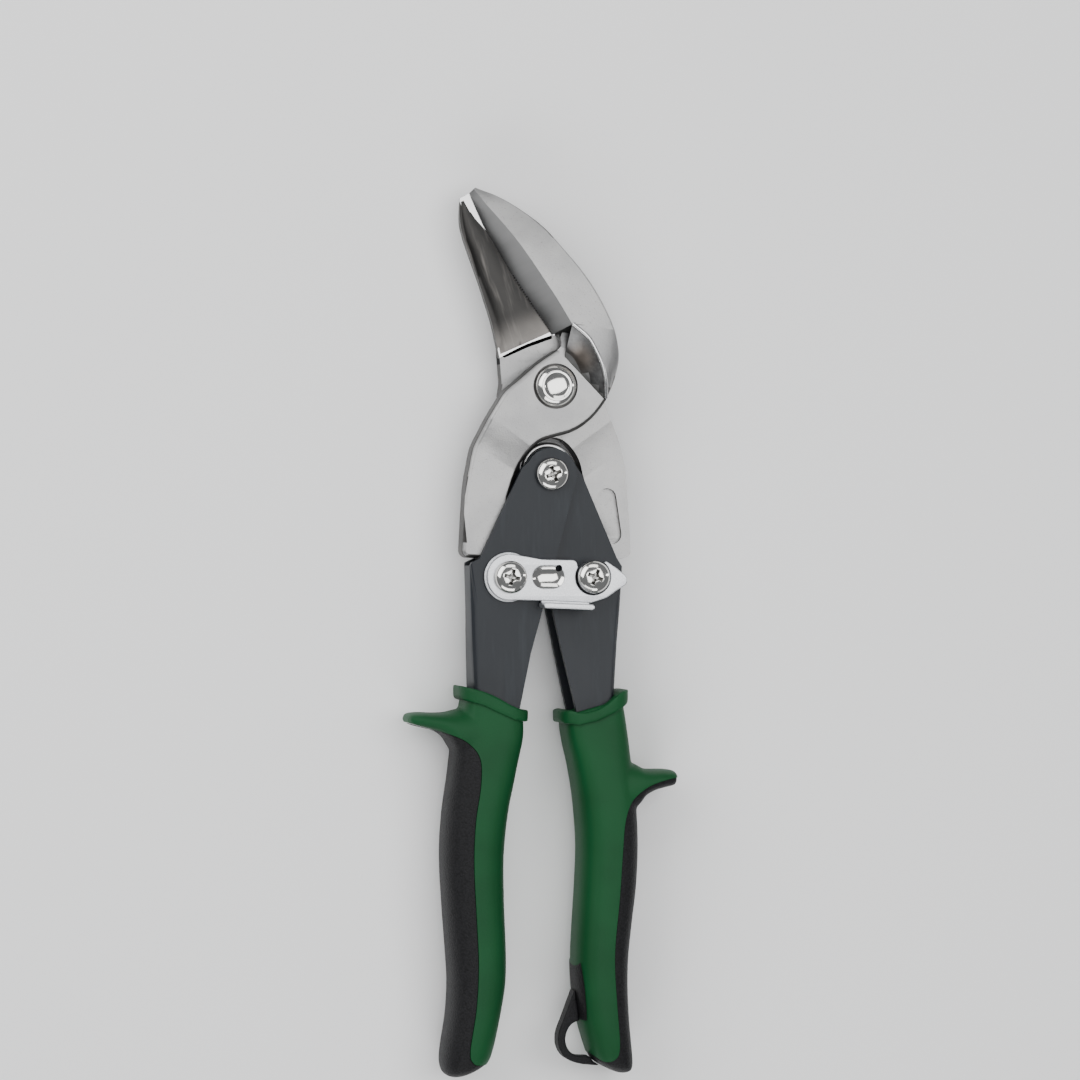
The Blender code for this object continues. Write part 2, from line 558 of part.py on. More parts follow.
LEFT_COLLAR = [
    *smooth([(-27.3, -84.0), (-21.5, -85.6), (-17.4, -87.3), (-13.3, -89.6), (-9.8, -90.9), (-7.5, -91.1)], 2),
    (-7.3, -93.9), (-8.2, -94.4), (-12.4, -93.7), (-17.4, -91.5), (-21.5, -89.5), (-26.2, -88.2), (-27.5, -87.2),
]
RIGHT_COLLAR = [
    *smooth([(1.6, -91.6), (4.0, -91.2), (7.0, -91.9), (11.4, -90.9), (14.5, -89.2), (18.4, -86.2),
             (21.3, -85.5)], 2),
    (21.8, -86.6), (21.4, -88.6), (20.2, -89.8), (16.6, -91.9), (11.4, -94.3), (6.4, -95.3), (2.4, -95.0),
    (1.4, -93.6),
]
COLLAR_HALF = 10.2
COLLAR_POWER = 3.6
LEFT_COLLAR_SPAN = ((-27.4, -7.3), (-27.2, -7.5))    # outer and inner sides, above and below
RIGHT_COLLAR_SPAN = ((21.6, 1.5), (21.4, 1.6))
# Seam between the hard grip and its soft overmould, from guard tip to the grip's end.
LEFT_SEAM = smooth([(-44.0, -93.9), (-38.5, -95.4), (-31.0, -97.6), (-25.6, -100.2), (-22.4, -104.6),
                    (-22.3, -112.0), (-23.8, -122.0), (-24.3, -134.0), (-23.6, -149.0), (-23.0, -162.0),
                    (-23.6, -174.0), (-25.3, -186.0), (-24.2, -189.6), (-21.6, -190.4), (-14.0, -190.6)], 2)
RIGHT_SEAM = smooth([(38.0, -110.2), (31.0, -111.4), (25.4, -113.6), (21.4, -117.4), (19.4, -122.5),
                     (18.6, -131.0), (17.7, -144.0), (16.5, -156.0), (16.3, -164.0), (17.0, -175.0),
                     (17.8, -186.0), (16.6, -189.6), (13.4, -190.3), (9.6, -187.6), (2.0, -184.0)], 2)
CORE_WALL = 1.5              # hard grip around the steel, under the overmould
CORE_START = -97.0


# Plan of the hanging strap: a web down the grip's inner side, then a band round the hole.
LOOP_OUTER = smooth([(9.0, -161.6), (7.2, -168.0), (4.8, -174.5), (3.1, -179.0), (1.9, -182.0), (1.55, -184.6),
                     (1.9, -186.8), (3.1, -189.0), (5.2, -190.5), (8.6, -191.5), (13.6, -192.0)], 2)
LOOP_HOLE = smooth([(14.0, -189.4), (8.6, -189.3), (6.4, -188.8), (4.7, -187.4), (3.9, -185.6), (3.8, -183.8),
                    (4.3, -181.9), (5.6, -180.1), (7.6, -179.2), (12.0, -178.8)], 2)
LOOP_HALF = 2.7


def hanging_loop(body):
    loop = prism("hanging_loop", [*LOOP_OUTER, *LOOP_HOLE, (12.0, -165.0)], -LOOP_HALF, LOOP_HALF, "black_rubber")
    return cut(loop, loft("loop_seat", [oval(*section, grow=1.4 * GAP) for section in body]))


def collar_rim(side, outline, span):
    """A rim round the top of a grip: its plan outline, rounded off front to back."""
    rim = prism(f"{side}_collar", outline, -15, 15)
    rings = [oval((start, y), (end, y), COLLAR_HALF, COLLAR_POWER) for (start, end), y in zip(span, (-80, -99))]
    return combine(rim, loft(f"{side}_collar_round", rings), "INTERSECT")


def grip_set(side, outward, body, guard, rim, seam, web, free, cheeks, flares):
    """The hard grip, its overmould and the cutters that seat them on the handle's tongue."""
    def skin(name, sections, finish=None):
        return loft(name, [oval(*section) for section in sections], finish)

    def tongue(grow, start, top):
        left = [(x + outward * grow, y) for x, y in web[start:-1]]
        right = [(x - outward * grow, y) for x, y in free[start:-1]]
        end = web[-1][1] - grow
        return [(left[0][0], top), *left, (web[-1][0] + outward * grow, end),
                (free[-1][0] - outward * grow, end), *right[::-1], (right[0][0], top)]

    def outside(line):
        """Plan region beyond a seam, on the grip's outer side and round its end."""
        return [*line, (line[-1][0], -200), (outward * 60, -200), (outward * 60, line[0][1])]

    core_grow = GAP + CORE_WALL
    half = TONGUE_HALF + core_grow
    core = prism(f"{side}_core", tongue(core_grow, 5, CORE_START), -half, half)
    shell = prism(f"{side}_core_room", tongue(core_grow + GAP, 5, CORE_START + GAP), -half - GAP, half + GAP)
    pocket = prism(f"{side}_pocket", tongue(GAP, 3, -75), -12, 12)
    combine(pocket, side_prism(f"{side}_pocket_side", handle_profile(cheeks, *flares, GAP), DOWN), "INTERSECT")

    grip = skin(f"{side}_grip", body, "green_rubber")
    combine(grip, skin(f"{side}_guard", guard), "UNION")
    cut(grip, prism(f"{side}_overmould_room", outside(offset(seam, outward * GAP)), -20, 20))
    combine(grip, rim, "UNION")
    combine(grip, core, "UNION")
    cut(grip, pocket)

    inlay = skin(f"{side}_grip_inlay", body, "black_rubber")
    combine(inlay, skin(f"{side}_inlay_guard", guard), "UNION")
    combine(inlay, prism(f"{side}_inlay_region", outside(seam), -20, 20), "INTERSECT")
    cut(inlay, shell)
    return grip, inlay


# ------------------------------------------------------------------ assembly
def bodies():
    """Every part, grouped by the rigid body that it moves with."""
    left_rim = collar_rim("left", LEFT_COLLAR, LEFT_COLLAR_SPAN)
    right_rim = collar_rim("right", RIGHT_COLLAR, RIGHT_COLLAR_SPAN)
    left_grip, left_inlay = grip_set("left", -1, LEFT_BODY, LEFT_GUARD, left_rim, LEFT_SEAM, LEFT_WEB,
                                     LEFT_FREE, LEFT_CHEEKS, (-7.2, LEFT_CHEEKS[1]))
    right_grip, right_inlay = grip_set("right", 1, RIGHT_BODY, RIGHT_GUARD, right_rim, RIGHT_SEAM, RIGHT_WEB,
                                       RIGHT_FREE, RIGHT_CHEEKS, (-7.6, 7.0))
    return {
        "left_handle_body": (FULCRUM, [
            left_handle(), left_grip, left_inlay, return_spring(),
            pan_screw("fulcrum_screw", FULCRUM, LEFT_CHEEKS[1] + GAP, -10.2, 20),
            turned("fulcrum_bush", ring_profile(SHANK_RADIUS + GAP, 3.4, -2.0, 2.0), FULCRUM, "zinc"),
            hex_nut("fulcrum_nut", FULCRUM, -9.9, RIGHT_CHEEKS[0] - GAP, 7.0),
            pan_screw("left_link_screw", LEFT_LINK, LATCH_TOP + GAP, -8.6, 10),
            hex_nut("left_link_nut", LEFT_LINK, -8.2, LEFT_CHEEKS[0] - GAP, 7.0),
            turned("latch_wave_washer", ring_profile(2.6, 7.0, LEFT_CHEEKS[1] + GAP, LATCH_BOTTOM - GAP),
                   LEFT_LINK, "zinc"),
        ]),
        "right_handle_body": (FULCRUM, [
            right_handle(), right_grip, right_inlay, hanging_loop(RIGHT_BODY),
            pan_screw("right_link_screw", RIGHT_LINK, LATCH_TOP + GAP, -10.6, 16),
            turned("right_link_spacer", ring_profile(SHANK_RADIUS + GAP, 4.2, RIGHT_CHEEKS[1] + GAP,
                                                     LATCH_BOTTOM - GAP), RIGHT_LINK, "zinc"),
            hex_nut("right_link_nut", RIGHT_LINK, -10.2, RIGHT_CHEEKS[0] - GAP, 7.0),
        ]),
        "front_blade_body": (LEFT_LINK, [
            front_blade(), pivot_bolt(),
            turned("pivot_washer", ring_profile(BOLT_RADIUS + GAP, 7.4, -7.6, -PLATE_TOP - GAP), PIVOT, "zinc"),
            hex_nut("pivot_lock_nut", PIVOT, -10.7, -7.9, 13.0, bore=BOLT_RADIUS + GAP),
        ]),
        "rear_blade_body": (PIVOT, [rear_blade()]),
        "latch_body": (LEFT_LINK, [latch()]),
    }


for body_name, (centre, pieces) in bodies().items():
    hinge = bpy.data.objects.new(body_name, None)
    parts.objects.link(hinge)
    hinge.location = (centre[0] * MM, centre[1] * MM, height(0))
    bpy.context.view_layer.update()
    for piece in pieces:
        piece.parent = hinge
        piece.matrix_parent_inverse = hinge.matrix_world.inverted()
        if piece.type == "MESH":
            piece.data.shade_smooth()
            piece.data.set_sharp_from_angle(angle=math.radians(32))
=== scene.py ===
# %% [markdown]
# Aviation snips, closed and latched, on a pale bench. This file is a lesson in cells: each step first
# says what the piece or finish is on the real tool, how it could be made, and why it is made this way.
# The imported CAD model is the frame. Pieces that need softer edges or finer detail are made again here,
# in the same place, and each says which CAD node it stands for and which body it moves with.

# %% Imports and frame
import json
import math

import bmesh
import bpy
import numpy as np
from mathutils import Matrix, Vector

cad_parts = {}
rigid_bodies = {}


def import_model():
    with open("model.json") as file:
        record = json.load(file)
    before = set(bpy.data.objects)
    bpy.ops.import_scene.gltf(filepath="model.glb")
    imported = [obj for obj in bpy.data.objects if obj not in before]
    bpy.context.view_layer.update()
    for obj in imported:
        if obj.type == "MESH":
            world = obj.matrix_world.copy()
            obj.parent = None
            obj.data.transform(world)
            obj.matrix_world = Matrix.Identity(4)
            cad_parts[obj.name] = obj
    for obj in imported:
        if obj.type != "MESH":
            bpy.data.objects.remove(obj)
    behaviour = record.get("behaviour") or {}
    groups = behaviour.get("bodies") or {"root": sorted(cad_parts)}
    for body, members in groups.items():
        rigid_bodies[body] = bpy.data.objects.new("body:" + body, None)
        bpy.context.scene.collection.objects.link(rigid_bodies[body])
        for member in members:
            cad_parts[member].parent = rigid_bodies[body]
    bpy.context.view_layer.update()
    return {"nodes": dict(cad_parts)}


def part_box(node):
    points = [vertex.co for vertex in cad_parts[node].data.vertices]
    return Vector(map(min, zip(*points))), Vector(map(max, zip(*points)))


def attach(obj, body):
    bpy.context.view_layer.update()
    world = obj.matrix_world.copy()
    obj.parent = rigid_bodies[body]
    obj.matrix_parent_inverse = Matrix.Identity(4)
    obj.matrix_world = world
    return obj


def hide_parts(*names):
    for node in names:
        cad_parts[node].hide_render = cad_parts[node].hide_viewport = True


for leftover in list(bpy.data.objects):
    bpy.data.objects.remove(leftover)
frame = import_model()
MM = 0.001

# %% [markdown]
# The pivots come from the frame: each is the middle of a nut, washer or spacer that sits on it. The blades
# meet in the shear plane, half way between the two pivot plates. Sketch sizes below are millimetres from
# the main pivot, with z counted from that plane, so a sketch point is turned into metres in one place.


# %% Pivots and the shear plane
def middle(node):
    """Centre of a CAD node in plan, in sketch millimetres."""
    low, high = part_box(node)
    return ((low.x + high.x) / 2 / MM, (low.y + high.y) / 2 / MM)


SHEAR = 11.0
PIVOT = (0.0, 0.0)
FULCRUM = middle("fulcrum_nut")
LEFT_LINK = middle("latch_wave_washer")
RIGHT_LINK = middle("right_link_spacer")
print("fulcrum", FULCRUM, "links", LEFT_LINK, RIGHT_LINK)


def point(x, y, z):
    """A sketch point in metres."""
    return Vector((x * MM, y * MM, (z + SHEAR) * MM))


# %% [markdown]
# The camera stands a little to the left of the tool and far away, so the outline hardly tapers and the
# left walls show as thin bands. A long lens on a distant camera gives that; a short one would bulge
# the blades.

# %% Camera
VIEW_TURN = math.radians(12.5)
FRAME_WIDTH = 0.3034
LENS, SENSOR = 135.0, 36.0
AIM = point(-4.61, -43.3, 7.0)
toward_camera = Vector((-math.sin(VIEW_TURN), 0, math.cos(VIEW_TURN)))
side_axis = Vector((0, 1, 0)).cross(toward_camera)
camera_data = bpy.data.cameras.new("camera")
camera_data.lens = LENS
camera_data.sensor_width = SENSOR
camera_data.clip_start = 0.05
camera = bpy.data.objects.new("camera", camera_data)
bpy.context.scene.collection.objects.link(camera)
turn = Matrix((side_axis, Vector((0, 1, 0)), toward_camera)).transposed().to_4x4()
turn.translation = AIM + toward_camera * (FRAME_WIDTH * LENS / SENSOR)
camera.matrix_world = turn
bpy.context.scene.camera = camera
print("camera", [round(v, 3) for v in turn.translation])

# %% [markdown]
# Polished and blasted steel look like what they reflect. A large soft box overhead makes the flat plates
# pale, and one at the upper left lights whatever leans that way. Two long low ones, before the grips and
# beyond the tips, draw bright lines along the rims, and a weak strip keeps the right walls from going
# black. Area lamps are the simplest soft boxes; the world adds an even grey fill.


# %% Lights and floor
def soft_box(name, place, aim, width, height, power):
    lamp = bpy.data.lights.new(name, "AREA")
    lamp.shape = "RECTANGLE"
    lamp.size, lamp.size_y, lamp.energy = width, height, power
    obj = bpy.data.objects.new(name, lamp)
    bpy.context.scene.collection.objects.link(obj)
    obj.location = place
    obj.rotation_euler = (Vector(aim) - Vector(place)).to_track_quat("-Z", "Y").to_euler()


soft_box("overhead", (0.20, 0.02, 1.05), (0.0, -0.05, 0.01), 0.66, 1.15, 8.2)
soft_box("upper left", (-0.85, 0.50, 0.75), (0.0, -0.02, 0.01), 1.15, 0.80, 12.0)
soft_box("near", (-0.15, -1.10, 0.65), (0.0, -0.08, 0.01), 1.30, 0.45, 7.0)
soft_box("far", (0.12, 0.98, 0.95), (0.0, 0.02, 0.01), 0.90, 0.45, 3.6)
soft_box("right edge", (1.25, 0.10, 0.35), (0.0, -0.03, 0.01), 0.10, 0.70, 1.2)
world = bpy.data.worlds.new("studio")
bpy.context.scene.world = world
world.use_nodes = True
world.node_tree.nodes["Background"].inputs["Color"].default_value = (0.80, 0.82, 0.85, 1)
world.node_tree.nodes["Background"].inputs["Strength"].default_value = 0.25

floor_mesh = bpy.data.meshes.new("bench")
REACH, BENCH_TOP = 3.0, -0.0002
corners = [(x * REACH, y * REACH, BENCH_TOP) for x, y in ((-1, -1), (1, -1), (1, 1), (-1, 1))]
floor_mesh.from_pydata(corners, [], [(0, 1, 2, 3)])
floor = bpy.data.objects.new("bench", floor_mesh)
bpy.context.scene.collection.objects.link(floor)
print("five soft boxes and a bench")

# %% [markdown]
# Finishes are procedural. Shader maths reads best as ordinary Python, so a small class wraps a socket
# and turns an expression on sockets into Math nodes. Colours and vectors don't pass through it: Mix and
# Vector Math nodes keep all three channels.


# %% Shader helpers
class Value:
    """A number that varies over a surface; arithmetic on it adds Math nodes."""

    def __init__(self, finish, socket):
        self.finish, self.socket = finish, socket

    def _maths(self, operation, first, second):
        return Value(self.finish, self.finish.node("ShaderNodeMath", {"operation": operation},
                                                   {0: first, 1: second}).outputs[0])

    def __add__(self, other):
        return self._maths("ADD", self, other)

    def __radd__(self, other):
        return self._maths("ADD", other, self)

    def __rsub__(self, other):
        return self._maths("SUBTRACT", other, self)

    def __mul__(self, other):
        return self._maths("MULTIPLY", self, other)

    def __rmul__(self, other):
        return self._maths("MULTIPLY", other, self)


class Finish:
    """A Principled material and the one method that adds its nodes."""

    def __init__(self, name, colour, roughness, metallic=0.0, **constants):
        self.material = bpy.data.materials.new(name)
        self.material.use_nodes = True
        self.tree = self.material.node_tree
        self.shader = self.tree.nodes["Principled BSDF"]
        self.set("Base Color", (*colour, 1))
        self.set("Roughness", roughness)
        self.set("Metallic", metallic)
        for socket, value in constants.items():
            self.set(socket.replace("_", " "), value)
        self.place = self.node("ShaderNodeTexCoord", {}, {}).outputs["Object"]

    def set(self, socket, value):
        if isinstance(value, Value):
            value = value.socket
        if isinstance(value, bpy.types.NodeSocket):
            self.tree.links.new(value, self.shader.inputs[socket])
        else:
            self.shader.inputs[socket].default_value = value

    def node(self, kind, settings, sockets):
        made = self.tree.nodes.new(kind)
        for name, value in settings.items():
            setattr(made, name, value)
        for key, value in sockets.items():
            if isinstance(value, Value):
                value = value.socket
            if isinstance(value, bpy.types.NodeSocket):
                self.tree.links.new(value, made.inputs[key])
            else:
                made.inputs[key].default_value = value
        return made

    def stretched(self, scale, turn=0.0):
        """Object coordinates scaled per axis after a turn about Z, for streaks."""
        mapping = self.node("ShaderNodeMapping", {}, {"Vector": self.place, "Rotation": (0, 0, turn)})
        return self.node("ShaderNodeMapping", {}, {"Vector": mapping.outputs[0], "Scale": scale}).outputs[0]

    def noise(self, size, detail=2.0, rough=0.5, where=None):
        """Clouds of about this size in metres, from 0 to 1."""
        made = self.node("ShaderNodeTexNoise", {}, {"Vector": where or self.place, "Scale": 1.0 / size,
                                                    "Detail": detail, "Roughness": rough})
        return Value(self, made.outputs[0])

    def between(self, value, low, high):
        """0 below low, 1 above high, smooth in between."""
        made = self.node("ShaderNodeMapRange", {"interpolation_type": "SMOOTHSTEP"},
                         {"Value": value, "From Min": low, "From Max": high})
        return Value(self, made.outputs[0])

    def blend(self, factor, first, second):
        """A colour between two colours."""
        made = self.node("ShaderNodeMix", {"data_type": "RGBA"}, {0: factor, 6: first, 7: second})
        return made.outputs[2]

    def bump(self, height, depth, strength):
        """A Bump node for a height of 0 to 1, depth metres deep."""
        made = self.node("ShaderNodeBump", {}, {"Height": height, "Distance": depth, "Strength": strength})
        return made.outputs[0]


def grey(level, warm=0.0):
    return (level * (1 + warm), level, level * (1 - warm), 1)


# %% [markdown]
# The blades are drop-forged, then bead-blasted: pale grey, with a fine dimpled grain and soft clouds
# where the blast was uneven. A single noise looks like paint, so two sizes share the bump, and the
# clouds shift colour and roughness together.


# %% Blasted steel
def blasted_steel():
    finish = Finish("blasted_steel", (0.62, 0.62, 0.61), 0.40, 1.0)
    clouds = finish.between(finish.noise(0.018, 3.0), 0.35, 0.68)
    grain = finish.noise(0.00042, 3.0, 0.6)
    dents = finish.noise(0.0016, 2.0)
    speck = finish.between(finish.noise(0.0005, 3.0, 0.6), 0.60, 0.72)
    base = finish.blend(clouds, grey(0.29), grey(0.42, 0.01))
    base = finish.blend(speck * 0.6, base, grey(0.17))
    finish.set("Base Color", base)
    finish.set("Roughness", 0.35 + 0.08 * clouds + 0.10 * grain)
    finish.set("Normal", finish.bump(0.65 * grain + 0.35 * dents, 0.00012, 0.7))
    return finish.material


# %% [markdown]
# Cutting faces are ground after forging. The wheel leaves fine parallel lines and a tighter shine; the dark
# level given to the upper blade's flank is painted shade. Noise on coordinates squeezed along one direction
# makes such lines; the turn sets which way they run.


# %% Ground steel
def ground_steel(name, level, turn, warm=0.0, roughness=0.27):
    finish = Finish(name, (level, level, level), roughness, 1.0)
    lines = finish.noise(1.0, 3.0, 0.6, finish.stretched((4200.0, 110.0, 110.0), turn))
    broad = finish.noise(1.0, 2.0, 0.5, finish.stretched((420.0, 26.0, 26.0), turn))
    clouds = finish.noise(0.012, 2.0)
    dark, pale = grey(level * 0.78, warm), grey(level * 1.15, warm)
    finish.set("Base Color", finish.blend(0.5 * broad + 0.5 * clouds, dark, pale))
    finish.set("Roughness", roughness - 0.03 + 0.14 * lines)
    finish.set("Normal", finish.bump(lines, 0.00003, 0.5))
    return finish.material


# %% [markdown]
# The trough of the lower blade is the darkest metal; its dark base colour is painted shade. It was ground
# across; it is painted paler towards the lip as a painted reflection, and paler in a few soft streaks where
# the wheel ran out. The distance from the lip is a dot product of the place with a fixed direction.


# %% Hollow-ground steel
def hollow_steel_painted_shade():
    finish = Finish("hollow_ground", (0.05, 0.05, 0.05), 0.32, 1.0)
    away = finish.node("ShaderNodeVectorMath", {"operation": "DOT_PRODUCT"},
                       {0: finish.place, 1: (-0.40, 0.92, 0.0)})
    away = Value(finish, away.outputs["Value"])
    lines = finish.noise(1.0, 3.0, 0.6, finish.stretched((160.0, 3600.0, 160.0), math.radians(22)))
    streaks = finish.noise(1.0, 3.0, 0.6, finish.stretched((420.0, 40.0, 100.0), math.radians(-18)))
    clouds = finish.noise(0.007, 3.0)
    # painted reflection: the trough is painted paler towards the lip
    painted_lip_reflection = 1 - finish.between(away, 0.0135, 0.024)
    pale = painted_lip_reflection * (0.4 + 0.6 * clouds) + 0.45 * finish.between(streaks, 0.5, 0.8)
    # the trough's dark base colour is painted shade
    finish.set("Base Color", finish.blend(pale, (0.036, 0.035, 0.034, 1), (0.20, 0.188, 0.176, 1)))
    finish.set("Roughness", 0.30 + 0.10 * lines + 0.06 * clouds)
    finish.set("Normal", finish.bump(0.5 * lines + 0.5 * clouds, 0.00006, 0.5))
    return finish.material


# %% [markdown]
# The pocket beside the pivot is painted dark grey as painted shade in the recess, with a brown cloud in the
# middle as a painted reflection. Two greys follow a large noise and the brown follows the distance from the
# pocket's middle.


# %% Pocket steel
def shaded_pocket_steel():
    finish = Finish("pocket_scale", (0.1, 0.1, 0.1), 0.36, 1.0)
    apart = finish.node("ShaderNodeVectorMath", {"operation": "DISTANCE"},
                        {0: finish.place, 1: (0.0085, 0.0085, 0.0145)})
    brown_reflection_mask = 1 - finish.between(Value(finish, apart.outputs["Value"]), 0.001, 0.0065)
    clouds, grain = finish.noise(0.004, 3.0, 0.6), finish.noise(0.0005, 3.0)
    # dark greys: painted shade in the recess
    base = finish.blend(finish.between(clouds, 0.3, 0.7), grey(0.13), grey(0.24))
    # brown cloud in the middle: painted reflection
    base = finish.blend(brown_reflection_mask * (0.35 + 0.65 * clouds), base, (0.25, 0.205, 0.17, 1))
    finish.set("Base Color", base)
    finish.set("Roughness", 0.30 + 0.14 * clouds)
    finish.set("Normal", finish.bump(0.5 * grain + 0.5 * clouds, 0.00009, 0.5))
    return finish.material


# %% [markdown]
# The side walls of both forgings, the counterbore round the pivot head and the rims that face right and
# down are given a dark finish as painted shade. It draws the dark outline round each plate.


# %% Painted wall shade
def forging_scale():
    finish = Finish("forging_scale", (0.1, 0.1, 0.1), 0.5, 1.0)
    clouds, grain = finish.noise(0.003, 3.0, 0.6), finish.noise(0.0006, 3.0)
    # dark walls and rims: painted shade
    finish.set("Base Color", finish.blend(clouds, grey(0.055), grey(0.13, 0.03)))
    finish.set("Roughness", 0.40 + 0.18 * grain)
    finish.set("Normal", finish.bump(0.6 * grain + 0.4 * clouds, 0.00012, 0.6))
    return finish.material


# %% [markdown]
# The handles are pressed sheet with a dark slate paint. It has a faint orange peel and rubbed, paler
# streaks down its length. A clear coat would look like a car, so the shine comes from roughness only.


# %% Slate paint
def slate_paint():
    finish = Finish("slate_paint", (0.015, 0.018, 0.023), 0.42, 0.0, Specular_IOR_Level=0.3)
    streaks = finish.noise(1.0, 3.0, 0.6, finish.stretched((300.0, 38.0, 200.0)))
    rubbed = finish.between(streaks, 0.48, 0.75)
    peel = finish.noise(0.0011, 2.0)
    fine = finish.noise(0.0003, 2.0)
    finish.set("Base Color", finish.blend(rubbed * 0.5, (0.0095, 0.012, 0.016, 1), (0.024, 0.029, 0.035, 1)))
    finish.set("Roughness", 0.34 + 0.12 * streaks + 0.06 * fine)
    finish.set("Normal", finish.bump(0.75 * peel + 0.25 * fine, 0.00006, 0.35))
    return finish.material


# %% [markdown]
# Small hardware has two platings: mirror-like nickel chrome on the bolt and screws, and a softer zinc
# on the latch and washers, whose crystals give a fine glittering grain.


# %% Plated metals
def chrome(name="chrome", level=0.74, roughness=0.09):
    finish = Finish(name, (level, level * 0.985, level * 0.95), roughness, 1.0)
    haze = finish.noise(0.0025, 3.0)
    fine = finish.noise(0.0005, 2.0)
    finish.set("Roughness", roughness - 0.02 + 0.09 * haze)
    finish.set("Normal", finish.bump(0.7 * haze + 0.3 * fine, 0.00003, 0.25))
    return finish.material


def zinc():
    finish = Finish("zinc", (0.6, 0.61, 0.63), 0.33, 1.0)
    crystals = finish.noise(0.00035, 3.0, 0.65)
    clouds = finish.noise(0.006, 2.0)
    finish.set("Base Color", finish.blend(finish.between(crystals, 0.38, 0.7), (0.50, 0.51, 0.53, 1),
                                          (0.68, 0.69, 0.71, 1)))
    finish.set("Roughness", 0.27 + 0.10 * clouds + 0.10 * crystals)
    finish.set("Normal", finish.bump(crystals, 0.00005, 0.35))
    return finish.material


# %% [markdown]
# The grips are two moulded plastics: a hard green one with a fine spark-eroded skin, and a soft black
# one with a coarser leather-like grain. Voronoi cells with the gaps pressed in give that grain.


# %% Grip plastics
def green_plastic():
    finish = Finish("green_plastic", (0.022, 0.107, 0.046), 0.52, 0.0, Specular_IOR_Level=0.18)
    skin = finish.noise(0.00038, 3.0, 0.6)
    waves = finish.noise(0.022, 2.0)
    finish.set("Base Color", finish.blend(finish.between(waves, 0.3, 0.7), (0.0025, 0.050, 0.0145, 1),
                                          (0.0035, 0.062, 0.0185, 1)))
    finish.set("Roughness", 0.47 + 0.12 * skin)
    finish.set("Normal", finish.bump(skin, 0.00006, 0.45))
    return finish.material


def black_rubber():
    finish = Finish("black_rubber", (0.018, 0.018, 0.021), 0.60, 0.0, Specular_IOR_Level=0.2)
    cells = finish.node("ShaderNodeTexVoronoi", {"feature": "SMOOTH_F1"},
                        {"Vector": finish.place, "Scale": 2300.0, "Randomness": 1.0})
    pebbles = 1 - finish.between(Value(finish, cells.outputs["Distance"]), 0.10, 0.75)
    fine = finish.noise(0.0004, 3.0)
    finish.set("Base Color", finish.blend(pebbles, (0.003, 0.003, 0.0035, 1), (0.009, 0.009, 0.0105, 1)))
    finish.set("Roughness", 0.46 + 0.22 * fine)
    finish.set("Normal", finish.bump(0.8 * pebbles + 0.2 * fine, 0.00014, 0.6))
    return finish.material


def bench_paint():
    finish = Finish("bench_paint", (0.93, 0.93, 0.93), 0.75)
    finish.set("Roughness", 0.70 + 0.08 * finish.noise(0.01))
    return finish.material


STEEL = blasted_steel()
# the upper blade's ground flank gets a dark level: painted shade
FRONT_FLANK_PAINTED_SHADE = ground_steel("ground_front", 0.26, math.radians(57))
# bright ground land; on the land behind the lip and on the pocket's bead it is a painted highlight
BRIGHT_LAND_AND_HIGHLIGHT = ground_steel("bright_land", 0.62, math.radians(57), roughness=0.2)
# the trough's dark finish: painted shade, with a painted reflection near the lip
HOLLOW_PAINTED_SHADE = hollow_steel_painted_shade()
# dark finish for walls, counterbore and rims that face right: painted shade
WALL_PAINTED_SHADE = forging_scale()
# the groove below the lip is painted black: painted shadow
GROOVE_PAINTED_SHADOW = ground_steel("groove_soot", 0.01, 0.0, 0.0, 0.7)
# the pocket's finish: painted shade with a painted reflection
POCKET_SHADE_PAINT = shaded_pocket_steel()
PAINT = slate_paint()
CHROME = chrome()
# duller chrome for the screw recess; its darker level is painted shade
RECESS_CHROME_PAINTED_SHADE = chrome("recess_chrome", 0.30, 0.25)
ZINC = zinc()
WIRE = ground_steel("spring_wire", 0.60, 0.0)
GREEN = green_plastic()
BLACK = black_rubber()
floor_mesh.materials.append(bench_paint())
print(len(bpy.data.materials), "finishes")

# %% [markdown]
# Four ways of making a mesh serve nearly every piece: a skin over rings, a flat outline with thickness
# and rounded edges, a turned profile, and Booleans between them. A 2D curve is the best start for a
# plate, because its holes are just more splines and its bevel rounds every edge at once.


# %% Mesh makers
def helper(name, mesh):
    obj = bpy.data.objects.new(name, mesh)
    bpy.context.scene.collection.objects.link(obj)
    return obj


def baked(obj):
    """The object's evaluated mesh, and the object removed."""
    graph = bpy.context.evaluated_depsgraph_get()
    mesh = bpy.data.meshes.new_from_object(obj.evaluated_get(graph))
    bpy.data.objects.remove(obj)
    return mesh


def smooth_line(points, steps=4):
    """Points on a smooth curve through rows of numbers, ends included."""
    p = [np.array(row, float) for row in points]
    p = [2 * p[0] - p[1], *p, 2 * p[-1] - p[-2]]
    found = []
    for a, b, c, d in zip(p, p[1:], p[2:], p[3:]):
        for t in np.arange(steps) / steps:
            found.append(0.5 * (2 * b + (c - a) * t + (2 * a - 5 * b + 4 * c - d) * t**2
                                + (3 * b - a - 3 * c + d) * t**3))
    return [*found, p[-2]]


def arc(centre, radius, start, end, count):
    angles = np.radians(np.linspace(start, end, count))
    return [(centre[0] + radius * math.cos(a), centre[1] + radius * math.sin(a)) for a in angles]


def stadium(start, end, radius, count=12):
    """A slot's outline about the line between two points."""
    heading = math.degrees(math.atan2(end[1] - start[1], end[0] - start[0]))
    return (arc(end, radius, heading - 90, heading + 90, count)
            + arc(start, radius, heading + 90, heading + 270, count))


def tidy(bm, name):
    bmesh.ops.remove_doubles(bm, verts=bm.verts, dist=0.002 * MM)
    bmesh.ops.recalc_face_normals(bm, faces=bm.faces)
    mesh = bpy.data.meshes.new(name)
    bm.to_mesh(mesh)
    bm.free()
    return mesh


